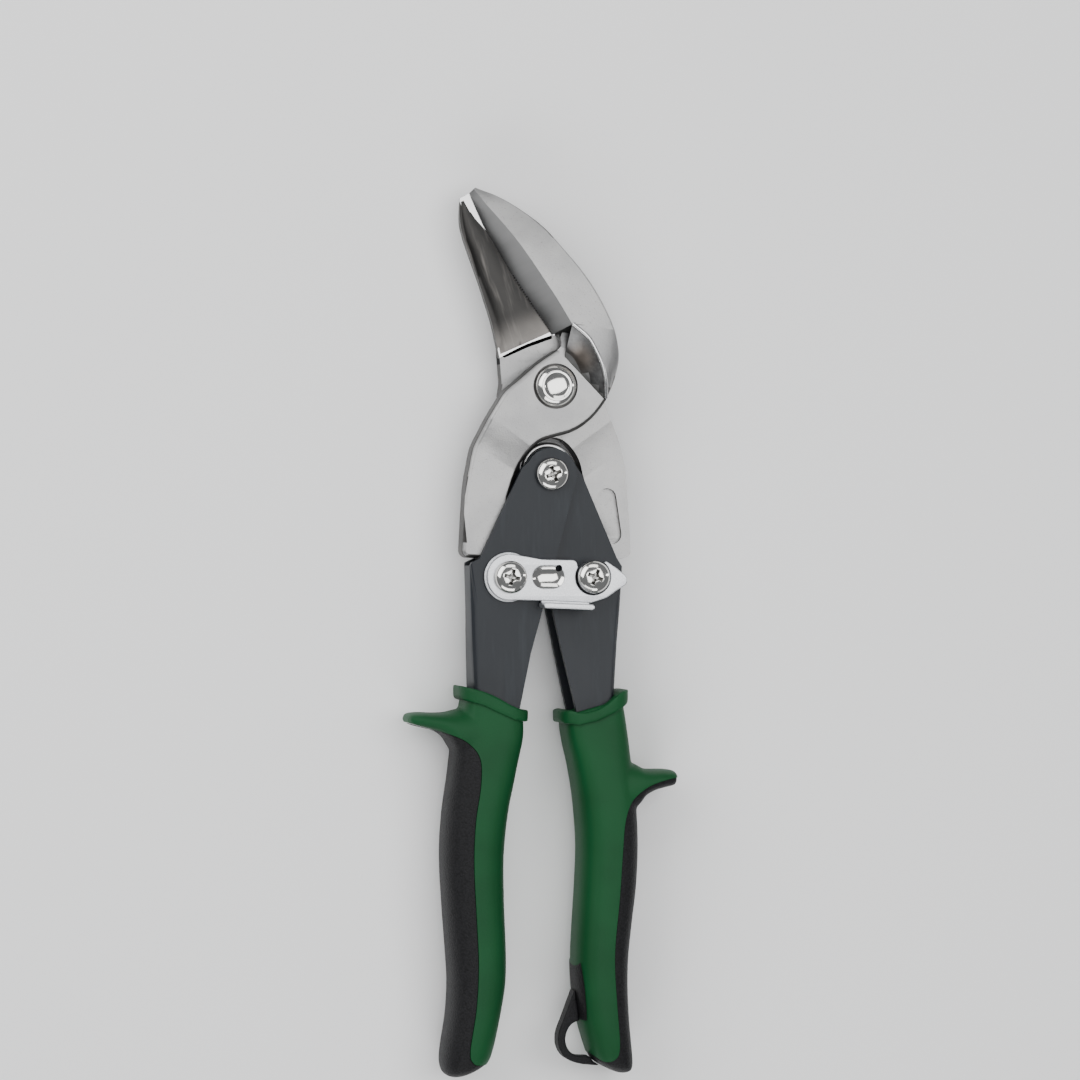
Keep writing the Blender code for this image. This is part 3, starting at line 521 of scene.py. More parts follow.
def skin(name, rings):
    """A closed skin over rings of equal length, each a list of sketch points."""
    bm = bmesh.new()
    loops = [[bm.verts.new(point(*p)) for p in ring] for ring in rings]
    count = len(rings[0])
    for first, second in zip(loops, loops[1:]):
        for i in range(count):
            j = (i + 1) % count
            bm.faces.new((first[i], first[j], second[j], second[i]))
    bm.faces.new(loops[0][::-1])
    bm.faces.new(loops[-1])
    return tidy(bm, name)


def turned(name, profile, centre, steps=96):
    """A profile of (radius, z), from the axis round to the axis, turned about an upright axis."""
    bm = bmesh.new()
    rings = []
    for radius, z in profile:
        if radius < 1e-6:
            rings.append([bm.verts.new(point(*centre, z))])
        else:
            circle = arc(centre, radius, 0, 360 - 360 / steps, steps)
            rings.append([bm.verts.new(point(*p, z)) for p in circle])
    for upper, lower in zip(rings, rings[1:]):
        for i in range(steps):
            j = (i + 1) % steps
            corners = [ring[k % len(ring)] for ring, k in ((upper, i), (lower, i), (lower, j), (upper, j))]
            bm.faces.new(list(dict.fromkeys(corners)))
    return tidy(bm, name)


def plate(name, outlines, low, high, edge=0.0, rounds=3):
    """Flat outlines, holes among them, as a plate whose edges are rounded by edge millimetres."""
    curve = bpy.data.curves.new(name, "CURVE")
    curve.dimensions, curve.fill_mode = "2D", "BOTH"
    curve.extrude = ((high - low) / 2 - edge) * MM
    curve.bevel_depth, curve.bevel_resolution, curve.offset = edge * MM, rounds, -edge * MM
    for outline in outlines:
        spline = curve.splines.new("POLY")
        spline.points.add(len(outline) - 1)
        for co, (x, y) in zip(spline.points, outline):
            co.co = (x * MM, y * MM, 0, 1)
        spline.use_cyclic_u = True
    mesh = baked(helper(name, curve))
    mesh.transform(Matrix.Translation((0, 0, ((low + high) / 2 + SHEAR) * MM)))
    bm = bmesh.new()
    bm.from_mesh(mesh)
    return tidy(bm, name)


def boolean(mesh, other, operation="DIFFERENCE"):
    """One mesh cut by, joined to or kept inside another."""
    work, tool = helper("work", mesh), helper("tool", other)
    step = work.modifiers.new("boolean", "BOOLEAN")
    step.operation, step.object, step.solver = operation, tool, "EXACT"
    made = baked(work)
    bpy.data.objects.remove(tool)
    return made


def joined(meshes, name="joined"):
    bm = bmesh.new()
    for mesh in meshes:
        bm.from_mesh(mesh)
    made = bpy.data.meshes.new(name)
    bm.to_mesh(made)
    bm.free()
    return made


def shaded(mesh, angle=35.0):
    mesh.shade_smooth()
    mesh.set_sharp_from_angle(angle=math.radians(angle))
    return mesh


def new_piece(name, mesh, body, stands_for, finishes):
    """Put a finished mesh in the scene, on its body, in place of CAD nodes."""
    numbers = [face.material_index for face in mesh.polygons]
    mesh.materials.clear()
    for finish in finishes:
        mesh.materials.append(finish)
    mesh.polygons.foreach_set("material_index", numbers)
    piece = helper(name, mesh)
    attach(piece, body)
    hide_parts(*stands_for)
    print(f"{name}: {len(mesh.polygons)} faces")


# %% [markdown]
# A forging has no razor edges except where it is ground. The CAD node is loose triangles, so a copy is
# welded, its flat runs are made single faces again, and a narrow bevel rounds each hard edge. Weighted
# normals then keep the broad faces flat, where plain smooth shading would smear them.


# %% Edge rounding
FLAT_WITHIN, SHARP_BEYOND, FLATNESS = math.radians(0.6), math.radians(36), 90


def welded_copy(node):
    """A CAD node's mesh with its triangles joined and its flat faces whole."""
    bm = bmesh.new()
    bm.from_mesh(frame["nodes"][node].data)
    bmesh.ops.remove_doubles(bm, verts=bm.verts, dist=0.003 * MM)
    bmesh.ops.dissolve_limit(bm, angle_limit=FLAT_WITHIN, verts=bm.verts, edges=bm.edges)
    mesh = bpy.data.meshes.new(node + "_copy")
    bm.to_mesh(mesh)
    bm.free()
    return mesh


def rounded(mesh, width, segments=2, angle=28.0, cutter=None, chosen=None):
    """A mesh with its hard edges bevelled, or only the chosen ones, then cut if a cutter is given."""
    mesh.shade_smooth()
    if chosen is not None:
        weights = mesh.attributes.new("bevel_weight_edge", "FLOAT", "EDGE")
        for edge, weight in zip(mesh.edges, weights.data):
            a, b = (mesh.vertices[i].co / MM for i in edge.vertices)
            weight.value = float(chosen(a, b))
    obj = helper("rounding", mesh)
    bevel = obj.modifiers.new("soft edges", "BEVEL")
    bevel.width, bevel.segments = width * MM, segments
    bevel.limit_method = "ANGLE" if chosen is None else "WEIGHT"
    bevel.angle_limit = math.radians(angle)
    bevel.use_clamp_overlap = chosen is None
    bevel.miter_outer = "MITER_ARC"
    made = baked(obj)
    if cutter is not None:
        made = boolean(made, cutter)
    made.shade_smooth()
    made.set_sharp_from_angle(angle=SHARP_BEYOND)
    obj = helper("weighing", made)
    weigh = obj.modifiers.new("flat faces stay flat", "WEIGHTED_NORMAL")
    weigh.weight, weigh.keep_sharp = FLATNESS, True
    return baked(obj)


def split(mesh, through, across):
    """The mesh with every face divided where an upright plane crosses it."""
    bm = bmesh.new()
    bm.from_mesh(mesh)
    whole = [*bm.verts, *bm.edges, *bm.faces]
    bmesh.ops.bisect_plane(bm, geom=whole, plane_co=point(*through), plane_no=across)
    bm.to_mesh(mesh)
    bm.free()
    return mesh


def paint_faces(mesh, rule):
    """Give each face the finish whose number the rule returns for its middle and normal."""
    for face in mesh.polygons:
        c = face.center / MM
        face.material_index = rule(c.x, c.y, c.z - SHEAR, face.normal)


# %% [markdown]
# Some shapes repeat or follow a path: the fine serration along the upper cutting edge, the screws, and
# the spring's wire. Geometry Nodes suit these, because one small tree with named sizes makes them all.
# The class below builds a tree, and grow() sets its inputs, evaluates it once and keeps a plain mesh.


# %% Geometry Nodes helper
class Pattern:
    """A Geometry Nodes tree with named inputs."""

    def __init__(self, name, inputs):
        self.tree = bpy.data.node_groups.new(name, "GeometryNodeTree")
        sockets = self.tree.interface
        sockets.new_socket("Geometry", in_out="INPUT", socket_type="NodeSocketGeometry")
        for label, (kind, value) in inputs.items():
            made = sockets.new_socket(label, in_out="INPUT", socket_type=kind)
            if value is not None:
                made.default_value = value
        sockets.new_socket("Geometry", in_out="OUTPUT", socket_type="NodeSocketGeometry")
        self.given = self.tree.nodes.new("NodeGroupInput").outputs
        self.result = self.tree.nodes.new("NodeGroupOutput")

    def node(self, kind, settings, sockets):
        made = self.tree.nodes.new(kind)
        for name, value in settings.items():
            setattr(made, name, value)
        for key, value in sockets.items():
            if isinstance(value, bpy.types.NodeSocket):
                self.tree.links.new(value, made.inputs[key])
            else:
                made.inputs[key].default_value = value
        return made.outputs[0]

    def end(self, geometry, material):
        real = self.node("GeometryNodeRealizeInstances", {}, {0: geometry})
        real = self.node("GeometryNodeSetMaterial", {}, {"Geometry": real, "Material": material})
        self.tree.links.new(real, self.result.inputs[0])

    def grow(self, base, **values):
        """The mesh that this tree makes from a base mesh or curve."""
        obj = helper("grown", base)
        modifier = obj.modifiers.new("pattern", "NODES")
        modifier.node_group = self.tree
        for socket in self.tree.interface.items_tree:
            if socket.in_out == "INPUT" and socket.name.replace(" ", "_") in values:
                modifier[socket.identifier] = values[socket.name.replace(" ", "_")]
        return baked(obj)


def line_mesh(name, points):
    """Sketch points joined by edges, for a tree to follow."""
    mesh = bpy.data.meshes.new(name)
    mesh.from_pydata([point(*p) for p in points], [(i, i + 1) for i in range(len(points) - 1)], [])
    return mesh


# %% [markdown]
# The upper blade's cutting edge is finely serrated so that sheet doesn't slide out of the jaws. Each
# notch is a small upright cylinder taken out of the edge. The tree sets one at every step of the edge's
# curve; cutting real notches keeps the edge toothed from any side.


# %% Serration tree
serration = Pattern("serration", {"Pitch": ("NodeSocketFloat", 0.0008),
                                  "Notch Radius": ("NodeSocketFloat", 0.00025),
                                  "Notch Depth": ("NodeSocketFloat", 0.0009)})
given = serration.given
along = serration.node("GeometryNodeMeshToCurve", {}, {0: given["Geometry"]})
along = serration.node("GeometryNodeResampleCurve", {"mode": "LENGTH"}, {"Curve": along,
                                                                        "Length": given["Pitch"]})
notch = serration.node("GeometryNodeMeshCylinder", {}, {"Vertices": 8, "Radius": given["Notch Radius"],
                                                        "Depth": given["Notch Depth"]})
serration.end(serration.node("GeometryNodeInstanceOnPoints", {}, {"Points": along, "Instance": notch}), STEEL)
CUTTING_EDGE = [(-0.35, 15.6, 0.45), (-4.6, 21.8, 0.45), (-8.5, 27.5, 0.45), (-11.0, 31.3, 0.45)]
notches = serration.grow(line_mesh("cutting_edge", CUTTING_EDGE), Pitch=0.78 * MM, Notch_Radius=0.26 * MM)
print("serration cutter:", len(notches.polygons), "faces")

# %% [markdown]
# The upper blade is a pivot plate with a crescent standing on it. The plate is an extruded outline whose
# top falls to the arm over a soft shoulder; the crescent is a skin over stations from tip to throat, so
# its crest and outer edge run as clean curves. A narrow bead follows the rim of the pocket beside the
# pivot, where the cut sheet slides away. The finishes follow the faces: a rule looks at where each face
# is and which way it points.


# %% Upper blade
PLATE_TOP, ARM_LOW, ARM_HIGH, SHEAR_GAP = 6.5, -2.0, 4.1, 0.1
STEP_START, STEP_END = 17.7, 26.4
LEFT_ARM, RIGHT_ARM = (-0.57, -0.82), (0.57, -0.82)
BOLT_HOLE, COUNTERBORE, COUNTERBORE_FLOOR = 4.2, 6.4, 5.4
BLOCK_LENGTH, BLOCK_WIDTH, BLOCK_HEIGHT = 90, 120.0, 30


def step_block(near, far, beyond, direction):
    """A wide block whose face steps from height near at the pivot to height far along an arm."""
    along = Vector((*direction, 0)).normalized()
    across = Vector((-along.y, along.x, 0))
    profile = [(-BLOCK_LENGTH, near), (STEP_START, near), (STEP_END, far), (BLOCK_LENGTH, far),
               (BLOCK_LENGTH, beyond), (-BLOCK_LENGTH, beyond)]
    return skin("block", [[(*(along * s + across * side).xy, z) for s, z in profile]
                          for side in (-BLOCK_WIDTH, BLOCK_WIDTH)])


def drilled(mesh, centre, radius, low, high, steps=64):
    return boolean(mesh, turned("drill", [(0, high), (radius, high), (radius, low), (0, low)], centre, steps))


def line(points, steps=5):
    return [tuple(p) for p in smooth_line(points, steps)]


FRONT_PLATE = [
    (0.6, 10.3),
    *line([(-1.8, 8.7), (-5.6, 6.0), (-10.2, 2.0), (-14.3, -1.4), (-16.3, -4.3), (-19.2, -9.0),
           (-21.2, -13.2), (-23.2, -17.6), (-24.3, -23.0), (-25.3, -29.0), (-26.2, -44.0)], 2),
    *arc((-24.2, -46.2), 2.1, 180, 262, 8),
    (-21.6, -48.4),
    *arc(LEFT_LINK, 7.6, 155, 360, 24),
    *line([(-6.6, -50.0), (-9.6, -42.0), (-13.0, -34.5), (-12.0, -28.5), (-10.9, -25.2), (-9.6, -21.9),
           (-7.8, -19.0), (-5.7, -16.8), (-3.6, -15.4), (0.4, -14.2), (4.4, -13.1), (8.3, -11.0),
           (11.9, -7.8), (14.6, -4.2)], 2),
]
CRESCENT = [
    # cutting edge, crest, outer edge, crest height, from tip to throat
    (-23.5, 54.4, -22.4, 55.3, -21.9, 55.9, 1.7), (-21.2, 49.2, -19.2, 50.6, -15.9, 53.3, 4.6),
    (-18.7, 44.0, -15.4, 45.9, -9.6, 49.4, 6.6), (-15.4, 38.8, -11.6, 41.1, -3.4, 44.6, 7.8),
    (-12.5, 33.8, -8.0, 36.2, 2.2, 38.6, 8.3), (-8.7, 27.5, -3.6, 29.8, 8.2, 31.6, 8.5),
    (-4.6, 21.8, 0.2, 24.2, 12.6, 25.0, 8.5), (-0.7, 16.2, 3.4, 19.0, 15.6, 19.2, 8.5),
    (0.4, 14.7, 4.4, 17.4, 16.9, 15.9, 8.5),
]
TAIL = [
    # inner rim, outer edge, height, fall to the outer edge
    (4.4, 17.4, 16.9, 15.9, 8.5, 0.7), (8.8, 13.8, 17.9, 12.0, 8.4, 1.2), (11.4, 9.6, 18.4, 8.5, 8.2, 1.7),
    (13.2, 5.6, 18.1, 5.0, 7.8, 2.1), (14.3, 1.0, 17.0, 0.8, 7.0, 1.9), (14.6, -3.3, 14.9, -3.9, 5.6, 0.5),
]
POCKET_FLOOR = [(2.3, 14.0), (3.6, 17.4), (9.0, 17.0), (15.0, 12.0), (16.6, 6.0), (15.4, -1.0), (14.5, -3.8),
                (11.0, -4.0), (-1.0, 6.0), (1.0, 10.2), (2.2, 11.3), (2.6, 12.6)]
POCKET_HEIGHT, POCKET_MIDDLE, BEAD, FILLET = 2.6, (3.0, 3.0), 0.62, 0.75

crescent_rings = []
for row in smooth_line(CRESCENT, 4):
    edge, crest, outer, top = row[:2], row[2:4], row[4:6], row[6]
    fall = [(*(crest + (outer - crest) * t), top - 0.7 * t ** 1.6) for t in (0.0, 0.35, 0.7, 0.95)]
    crescent_rings.append([(*edge, -1), (*edge, 0.35), *fall, (*outer, top - 1.3), (*outer, -1)])
tail_rings = []
for row in smooth_line(TAIL, 4):
    inner, outer, top, drop = row[:2], row[2:4], row[4], row[5]
    fall = [(*(inner + (outer - inner) * t), top - drop * t ** 1.7) for t in (0.0, 0.3, 0.6, 0.85)]
    foot, rise = inner + (np.array(POCKET_MIDDLE) - inner) * FILLET, top - POCKET_HEIGHT
    hollow = [(*(foot + (inner - foot) * t), POCKET_HEIGHT - 0.1 + rise * t ** 1.35)
              for t in (0.0, 0.3, 0.55, 0.8)]
    tail_rings.append([(*foot, -1), *hollow, *fall, (*outer, top - drop - 0.4), (*outer, -1)])

LONGEST_RIM_EDGE = 6
front = plate("pivot_plate", [FRONT_PLATE], -8, 12)
front = boolean(front, step_block(PLATE_TOP, ARM_HIGH, BLOCK_HEIGHT, LEFT_ARM))


def plate_rim(a, b):
    """Whether an edge lies on the top rim of the plate and arm; the shoulder creases are longer."""
    return min(a.z, b.z) > ARM_HIGH + SHEAR - 0.02 and abs(a.y - b.y) + abs(a.x - b.x) < LONGEST_RIM_EDGE


front = rounded(front, 1.3, 6, chosen=plate_rim)
for piece in (plate("pocket_floor", [POCKET_FLOOR], -1.5, POCKET_HEIGHT), skin("crescent", crescent_rings),
              skin("tail", tail_rings)):
    front = boolean(front, piece, "UNION")
front = boolean(front, step_block(SHEAR_GAP, ARM_LOW, -BLOCK_HEIGHT, LEFT_ARM))
THROAT = (0.5, 12.3)
front = drilled(front, THROAT, 2.1, -3, 12)
front = drilled(front, PIVOT, BOLT_HOLE, -5, 20)
front = drilled(front, PIVOT, COUNTERBORE, COUNTERBORE_FLOOR, 20)
front = drilled(front, LEFT_LINK, 2.3, -20, 20, 32)
front = rounded(front, 0.4, cutter=notches)

wire = Pattern("wire", {"Wire Radius": ("NodeSocketFloat", 0.001), "Sides": ("NodeSocketInt", 16)})
spine = wire.node("GeometryNodeMeshToCurve", {}, {0: wire.given["Geometry"]})
circle = wire.node("GeometryNodeCurvePrimitiveCircle", {}, {"Resolution": wire.given["Sides"],
                                                            "Radius": wire.given["Wire Radius"]})
sweep = {"Curve": spine, "Profile Curve": circle, "Fill Caps": True}
wire.end(wire.node("GeometryNodeCurveToMesh", {}, sweep), WIRE)
bead_path = [(row[0] + 0.1, row[1] + 0.1, row[4] - 0.12) for row in smooth_line(TAIL, 4)]
bead = wire.grow(line_mesh("bead_path", bead_path), Wire_Radius=BEAD * MM)
POCKET = [(2.3, 12.0), (2.6, 15.6), *[(x, y) for x, y, _ in bead_path]]


def within(x, y, outline):
    """Whether a plan point lies inside a closed outline."""
    inside = False
    for (x1, y1), (x2, y2) in zip(outline, outline[1:] + outline[:1]):
        if (y1 > y) != (y2 > y) and x < x1 + (y - y1) * (x2 - x1) / (y2 - y1):
            inside = not inside
    return inside


FRONT_FINISHES = [STEEL, FRONT_FLANK_PAINTED_SHADE, POCKET_SHADE_PAINT, BRIGHT_LAND_AND_HIGHLIGHT, WALL_PAINTED_SHADE]
FACE, FLANK, POCKET_FACE, BEAD_FACE, SHADED_WALL = range(5)
WALL_STEEPER, RIM_STEEPER = 0.55, 0.93


def front_rule(x, y, z, normal):
    """The ground flank beyond the throat, the pocket, the counterbore, then walls and shaded rims; all of these
    get dark finishes as painted shade.
    """
    beyond_throat = y > 14.5 + 0.675 * (x - 0.4)
    # the ground flank, painted dark as painted shade
    if beyond_throat and normal.x < -0.35 and 0.1 < normal.z < RIM_STEEPER and z > 0.2:
        return FLANK
    # the pocket gets its painted shade and painted reflection
    if within(x, y, POCKET) and z < 8.3:
        return POCKET_FACE
    # painted shade in the counterbore round the pivot head
    if math.hypot(x, y) < 6.6 and z < 6.3:
        return SHADED_WALL
    # walls, and rims that face right and down, get painted shade
    shaded_rim = normal.x - normal.y > 0.25 and y < 0
    return SHADED_WALL if normal.z < (RIM_STEEPER if shaded_rim else WALL_STEEPER) else FACE


paint_faces(front, front_rule)
blade_faces = len(front.polygons)
front = joined([front, shaded(bead, 60)])
# the bead gets the bright land finish as a painted highlight
for face in front.polygons:
    if face.index >= blade_faces:
        face.material_index = BEAD_FACE
new_piece("upper_blade", front, "front_blade_body", ["front_blade"], FRONT_FINISHES)

# %% [markdown]
# The lower blade's face is hollow-ground: a shallow trough between its back edge and a narrow land along
# the cutting edge, so that only the land touches the sheet. A lens-shaped cutter, skinned over arcs
# between those two lines, takes it out. Its end leaves the lip that lifts the sheet, and a narrow groove
# below the lip, painted black as painted shadow, gives its dark shadow.

# %% Lower blade
REAR_PLATE = [
    *line([(-14.6, 12.0), (-14.3, 8.0), (-14.0, 4.0), (-13.8, 1.0), (-14.3, -2.6)]),
    *line([(-13.5, -6.0), (-11.6, -8.2), (-8.3, -11.0), (-4.4, -13.1), (0.0, -14.2), (2.7, -14.6),
           (5.2, -16.2), (7.2, -18.8), (8.4, -21.7), (9.0, -25.0), (10.0, -28.5), (11.2, -33.5),
           (7.2, -42.0), (4.0, -50.0)]),
    *arc(RIGHT_LINK, 6.9, 180, 380, 24),
    (17.9, -49.6),
    (19.2, -48.8),
    *arc((20.9, -46.4), 1.9, 278, 360, 8),
    *line([(22.5, -40.0), (21.9, -32.0), (21.4, -25.0), (20.2, -18.0), (18.5, -12.0), (16.5, -6.5),
           (15.4, -3.6), (13.2, 0.2), (10.2, 3.0), (7.4, 5.6), (4.6, 9.4), (3.0, 13.0), (0.6, 15.6)]),
]
REAR_BLADE = [
    # cutting edge, back edge, depth, from tip to neck
    (-23.6, 54.3, -26.2, 52.8, 1.4), (-20.8, 49.5, -26.1, 47.0, 4.2), (-18.3, 44.3, -25.3, 42.6, 6.0),
    (-14.6, 38.3, -23.2, 36.4, 7.2), (-9.5, 30.7, -20.7, 29.6, 7.9), (-5.0, 23.6, -18.6, 23.2, 8.2),
    (-0.5, 17.0, -16.7, 17.0, 7.6), (3.2, 11.0, -14.7, 8.0, 6.4),
]
NECK = [(-18.0, 6.5), (-13.9, 8.5), *line([(-13.9, 8.5), (-7.0, 11.9), (1.2, 14.7)]), (4.4, 15.6), (5.2, 9.0),
        *line([(0.6, 8.6), (-4.0, 7.0), (-7.2, 4.0), (-9.6, 1.9), (-14.0, 0.7)]), (-18.0, 0.0)]
LIP_GROOVE = [*line([(-13.9, 8.6), (-7.0, 12.0), (0.6, 14.75)]), (0.9, 13.8), (-6.6, 11.05), (-12.9, 8.2)]
HOLLOW_ROWS = [
    # back side, cutting side, depth
    (-25.9, 51.9, -25.0, 52.3, 0.05), (-25.6, 47.5, -22.0, 47.6, 0.35), (-24.9, 43.0, -19.0, 44.3, 0.6),
    (-22.9, 37.5, -15.2, 39.6, 0.9), (-21.0, 31.5, -10.6, 33.4, 1.1), (-19.2, 26.3, -6.6, 27.9, 1.2),
    (-17.4, 21.0, -2.6, 22.9, 1.2), (-15.7, 15.0, 0.2, 18.2, 1.0), (-14.5, 9.1, 0.6, 15.8, 0.7),
]
rear = plate("rear_plate", [REAR_PLATE], -12, 8)
rear = boolean(rear, step_block(-PLATE_TOP, -ARM_HIGH, -BLOCK_HEIGHT, RIGHT_ARM))
rear_rings = []
for row in smooth_line(REAR_BLADE, 4):
    edge, back, depth = row[:2], row[2:4], row[4]
    ridge = edge + (back - edge) * min(0.62 * depth / np.linalg.norm(back - edge), 0.5)
    heel = back + (edge - back) * 0.16
    rear_rings.append([(*edge, 1), (*edge, -0.35), (*ridge, -depth), (*heel, -0.72 * depth),
                       (*back, -min(2.8, 0.6 * depth)), (*back, 1)])
rear = boolean(rear, skin("rear_body", rear_rings), "UNION")
rear = boolean(rear, step_block(-SHEAR_GAP, -ARM_LOW, BLOCK_HEIGHT, RIGHT_ARM))
rear = boolean(rear, plate("neck", [NECK], -1.8, 3))
rear = boolean(rear, plate("arm_pocket", [stadium((15.9, -31.4), (17.4, -41.7), 2.75)], 0.7, 6))
rear = drilled(rear, PIVOT, BOLT_HOLE, -20, 20)
rear = drilled(rear, RIGHT_LINK, 2.5, -20, 20, 32)
hollow_rings = []
for row in smooth_line(HOLLOW_ROWS, 3):
    back, edge, depth = row[:2], row[2:4], row[4]
    trough = [(*(back + (edge - back) * t), -SHEAR_GAP - depth * math.sin(math.pi * t ** 0.8))
              for t in np.linspace(0, 1, 13)]
    hollow_rings.append([*trough, (*edge, 1.5), (*back, 1.5)])
# the groove's faces are painted black as a painted shadow
groove = plate("lip_groove", [LIP_GROOVE], -3.4, 1)
rear = rounded(boolean(rear, skin("hollow", hollow_rings)), 0.38, cutter=groove)


REAR_FINISHES = [STEEL, BRIGHT_LAND_AND_HIGHLIGHT, HOLLOW_PAINTED_SHADE, GROOVE_PAINTED_SHADOW, WALL_PAINTED_SHADE]
FACE, LAND, TROUGH, GROOVE, SHADED_WALL = range(5)
LIP_SLOPE, LIP_HIGHLIGHT_WIDTH = 0.44, 3.2


def rear_rule(x, y, z, normal):
    """The groove below the lip, the bright land and the dark trough beyond it, then walls and rims. The groove
    is dark as painted shadow, the trough, walls and rims as painted shade, and the land just behind the lip is
    bright as a painted highlight.
    """
    lip = 8.4 + (x + 13.6) * LIP_SLOPE
    # painted shadow: the groove below the lip
    if z < -1.85 and -15 < x < 1.5 and lip - 1.6 < y < lip + 1.2:
        return GROOVE
    if y > lip and normal.z > 0.6:
        # the land just behind the lip is painted bright as a painted highlight
        near_edge = 0.9 * (x + 26.0) + 0.4 * (y - 51.5) > 0 or y < lip + LIP_HIGHLIGHT_WIDTH
        return LAND if z > -0.13 and near_edge else TROUGH
    # walls, and rims that face right, get painted shade
    return SHADED_WALL if normal.z < (RIM_STEEPER if normal.x > 0.3 else WALL_STEEPER) else FACE


for through, across in (((-26.0, 51.5, 0), (0.9, 0.4, 0)), ((-13.6, 11.6, 0), (-LIP_SLOPE, 1, 0))):
    rear = split(rear, through, across)
paint_faces(rear, rear_rule)
new_piece("lower_blade", rear, "rear_blade_body", ["rear_blade"], REAR_FINISHES)

# %% [markdown]
# The handles are folded from sheet. Rounding their edges a third of a millimetre is enough for the thin
# pale line that light draws along every flange.

# %% Handles
for side in ("left", "right"):
    sheet = rounded(welded_copy(f"{side}_handle"), 0.32)
    new_piece(f"{side}_channel", sheet, f"{side}_handle_body", [f"{side}_handle"], [PAINT])

# %% [markdown]
# The main pivot's head sits in a counterbore: a bevelled outer ring, then a raised rim round a shallow
# dish. It is turned in one profile, like the real one, with its threaded end flush with the bench.

# %% Pivot bolt, washer and lock nut
BOLT_RADIUS, THREAD_ROOT, THREAD_START, THREAD_PITCH = 3.85, 3.6, -7.9, 1.0
bolt_profile = [(0, 7.88), (0.7, 7.9), (1.4, 7.96), (2.1, 8.06), (2.8, 8.2), (3.4, 8.42), (3.6, 8.54),
                (3.8, 8.6), (4.15, 8.6), (4.38, 8.52), (5.45, 7.55), (5.72, 7.2), (5.80, 6.9), (5.80, 6.0),
                (5.6, 5.7), (BOLT_RADIUS, 5.7), (BOLT_RADIUS, THREAD_START)]
for groove_number in range(3):
    z = THREAD_START - THREAD_PITCH * groove_number
    bolt_profile += [(BOLT_RADIUS, z - 0.1), (THREAD_ROOT, z - 0.5)]
bolt_profile += [(BOLT_RADIUS, -10.6), (3.4, -SHEAR), (0, -SHEAR)]
new_piece("pivot_head", shaded(turned("pivot_head", bolt_profile, PIVOT), 30), "front_blade_body",
          ["pivot_bolt"], [CHROME])

# %% [markdown]
# Three pan-head screws hold the linkage. The dome is turned, and the cross is cut by two tapered bars.
# A tree sets each screw on a point that carries its turn, and adds a shank as long as that point says,
# so one head serves both handles.

# %% Screws
HEAD_RADIUS, HEAD_RISE, HEAD_RIM = 4.62, 3.0, 0.75
dome = [(HEAD_RADIUS * math.sin(a), HEAD_RIM + (HEAD_RISE - HEAD_RIM) * math.cos(a) ** 0.9)
        for a in np.radians(np.linspace(0, 88, 16))]
underside = [(HEAD_RADIUS, 0.6), (HEAD_RADIUS - 0.08, 0.2), (HEAD_RADIUS - 0.35, 0.0), (0, 0.0)]
head = turned("screw_head", [*dome, *underside], PIVOT, 72)


def recess_bar(angle):
    """A bar that narrows downwards, to cut one stroke of the cross."""
    rings = []
    for z, reach, half in ((0.8, 1.25, 0.34), (1.4, 1.75, 0.42), (2.3, 2.2, 0.50), (3.6, 2.5, 0.56)):
        corners = [(-reach, -half), (reach, -half), (reach, half), (-reach, half)]
        c, s = math.cos(math.radians(angle)), math.sin(math.radians(angle))
        rings.append([(x * c - y * s, x * s + y * c, z) for x, y in corners])
    return skin("recess_bar", rings)


well = turned("recess_well", [(0, 3.6), (1.25, 3.6), (0.95, 1.2), (0, 0.55)], PIVOT, 24)
for cutter in (recess_bar(0), recess_bar(90), well):
    head = boolean(head, cutter)
head.transform(Matrix.Translation((0, 0, -SHEAR * MM)))
head = rounded(head, 0.10, 2, 40)


def head_rule(x, y, z, normal):
    """The recess gets the second chrome, duller, and darker as painted shade; here z still counts from the
    head's underside.
    """
    height = z + SHEAR
    return int(math.hypot(x, y) < 2.6 and (normal.z < 0.75 or height < 1.6) and height > 0.3)


paint_faces(head, head_rule)
head.materials.append(CHROME)
head.materials.append(RECESS_CHROME_PAINTED_SHADE)
head_source = helper("screw_head_source", head)

screws = Pattern("screws", {"Head": ("NodeSocketObject", None), "Shank Radius": ("NodeSocketFloat", 0.0018)})
given = screws.given
turn_field = screws.node("GeometryNodeInputNamedAttribute", {"data_type": "FLOAT"}, {"Name": "turn"})
length_field = screws.node("GeometryNodeInputNamedAttribute", {"data_type": "FLOAT"}, {"Name": "length"})
spin = screws.node("ShaderNodeCombineXYZ", {}, {"Z": turn_field})
source = screws.tree.nodes.new("GeometryNodeObjectInfo")
screws.tree.links.new(given["Head"], source.inputs["Object"])
heads = screws.node("GeometryNodeInstanceOnPoints", {}, {"Points": given["Geometry"], "Rotation": spin,
                                                         "Instance": source.outputs["Geometry"]})
shank = screws.node("GeometryNodeMeshCylinder", {}, {"Vertices": 32, "Radius": given["Shank Radius"],
                                                     "Depth": 1.0})
shank = screws.node("GeometryNodeSetMaterial", {}, {"Geometry": shank, "Material": CHROME})
hang = screws.node("GeometryNodeTransform", {}, {"Geometry": shank, "Translation": (0, 0, -0.5)})
stretch = screws.node("ShaderNodeCombineXYZ", {}, {"X": 1.0, "Y": 1.0, "Z": length_field})
shanks = screws.node("GeometryNodeInstanceOnPoints", {}, {"Points": given["Geometry"], "Instance": hang,
                                                          "Scale": stretch})
together = screws.node("GeometryNodeJoinGeometry", {}, {0: heads})
screws.tree.links.new(shanks, together.node.inputs[0])
real = screws.node("GeometryNodeRealizeInstances", {}, {0: together})
screws.tree.links.new(real, screws.result.inputs[0])


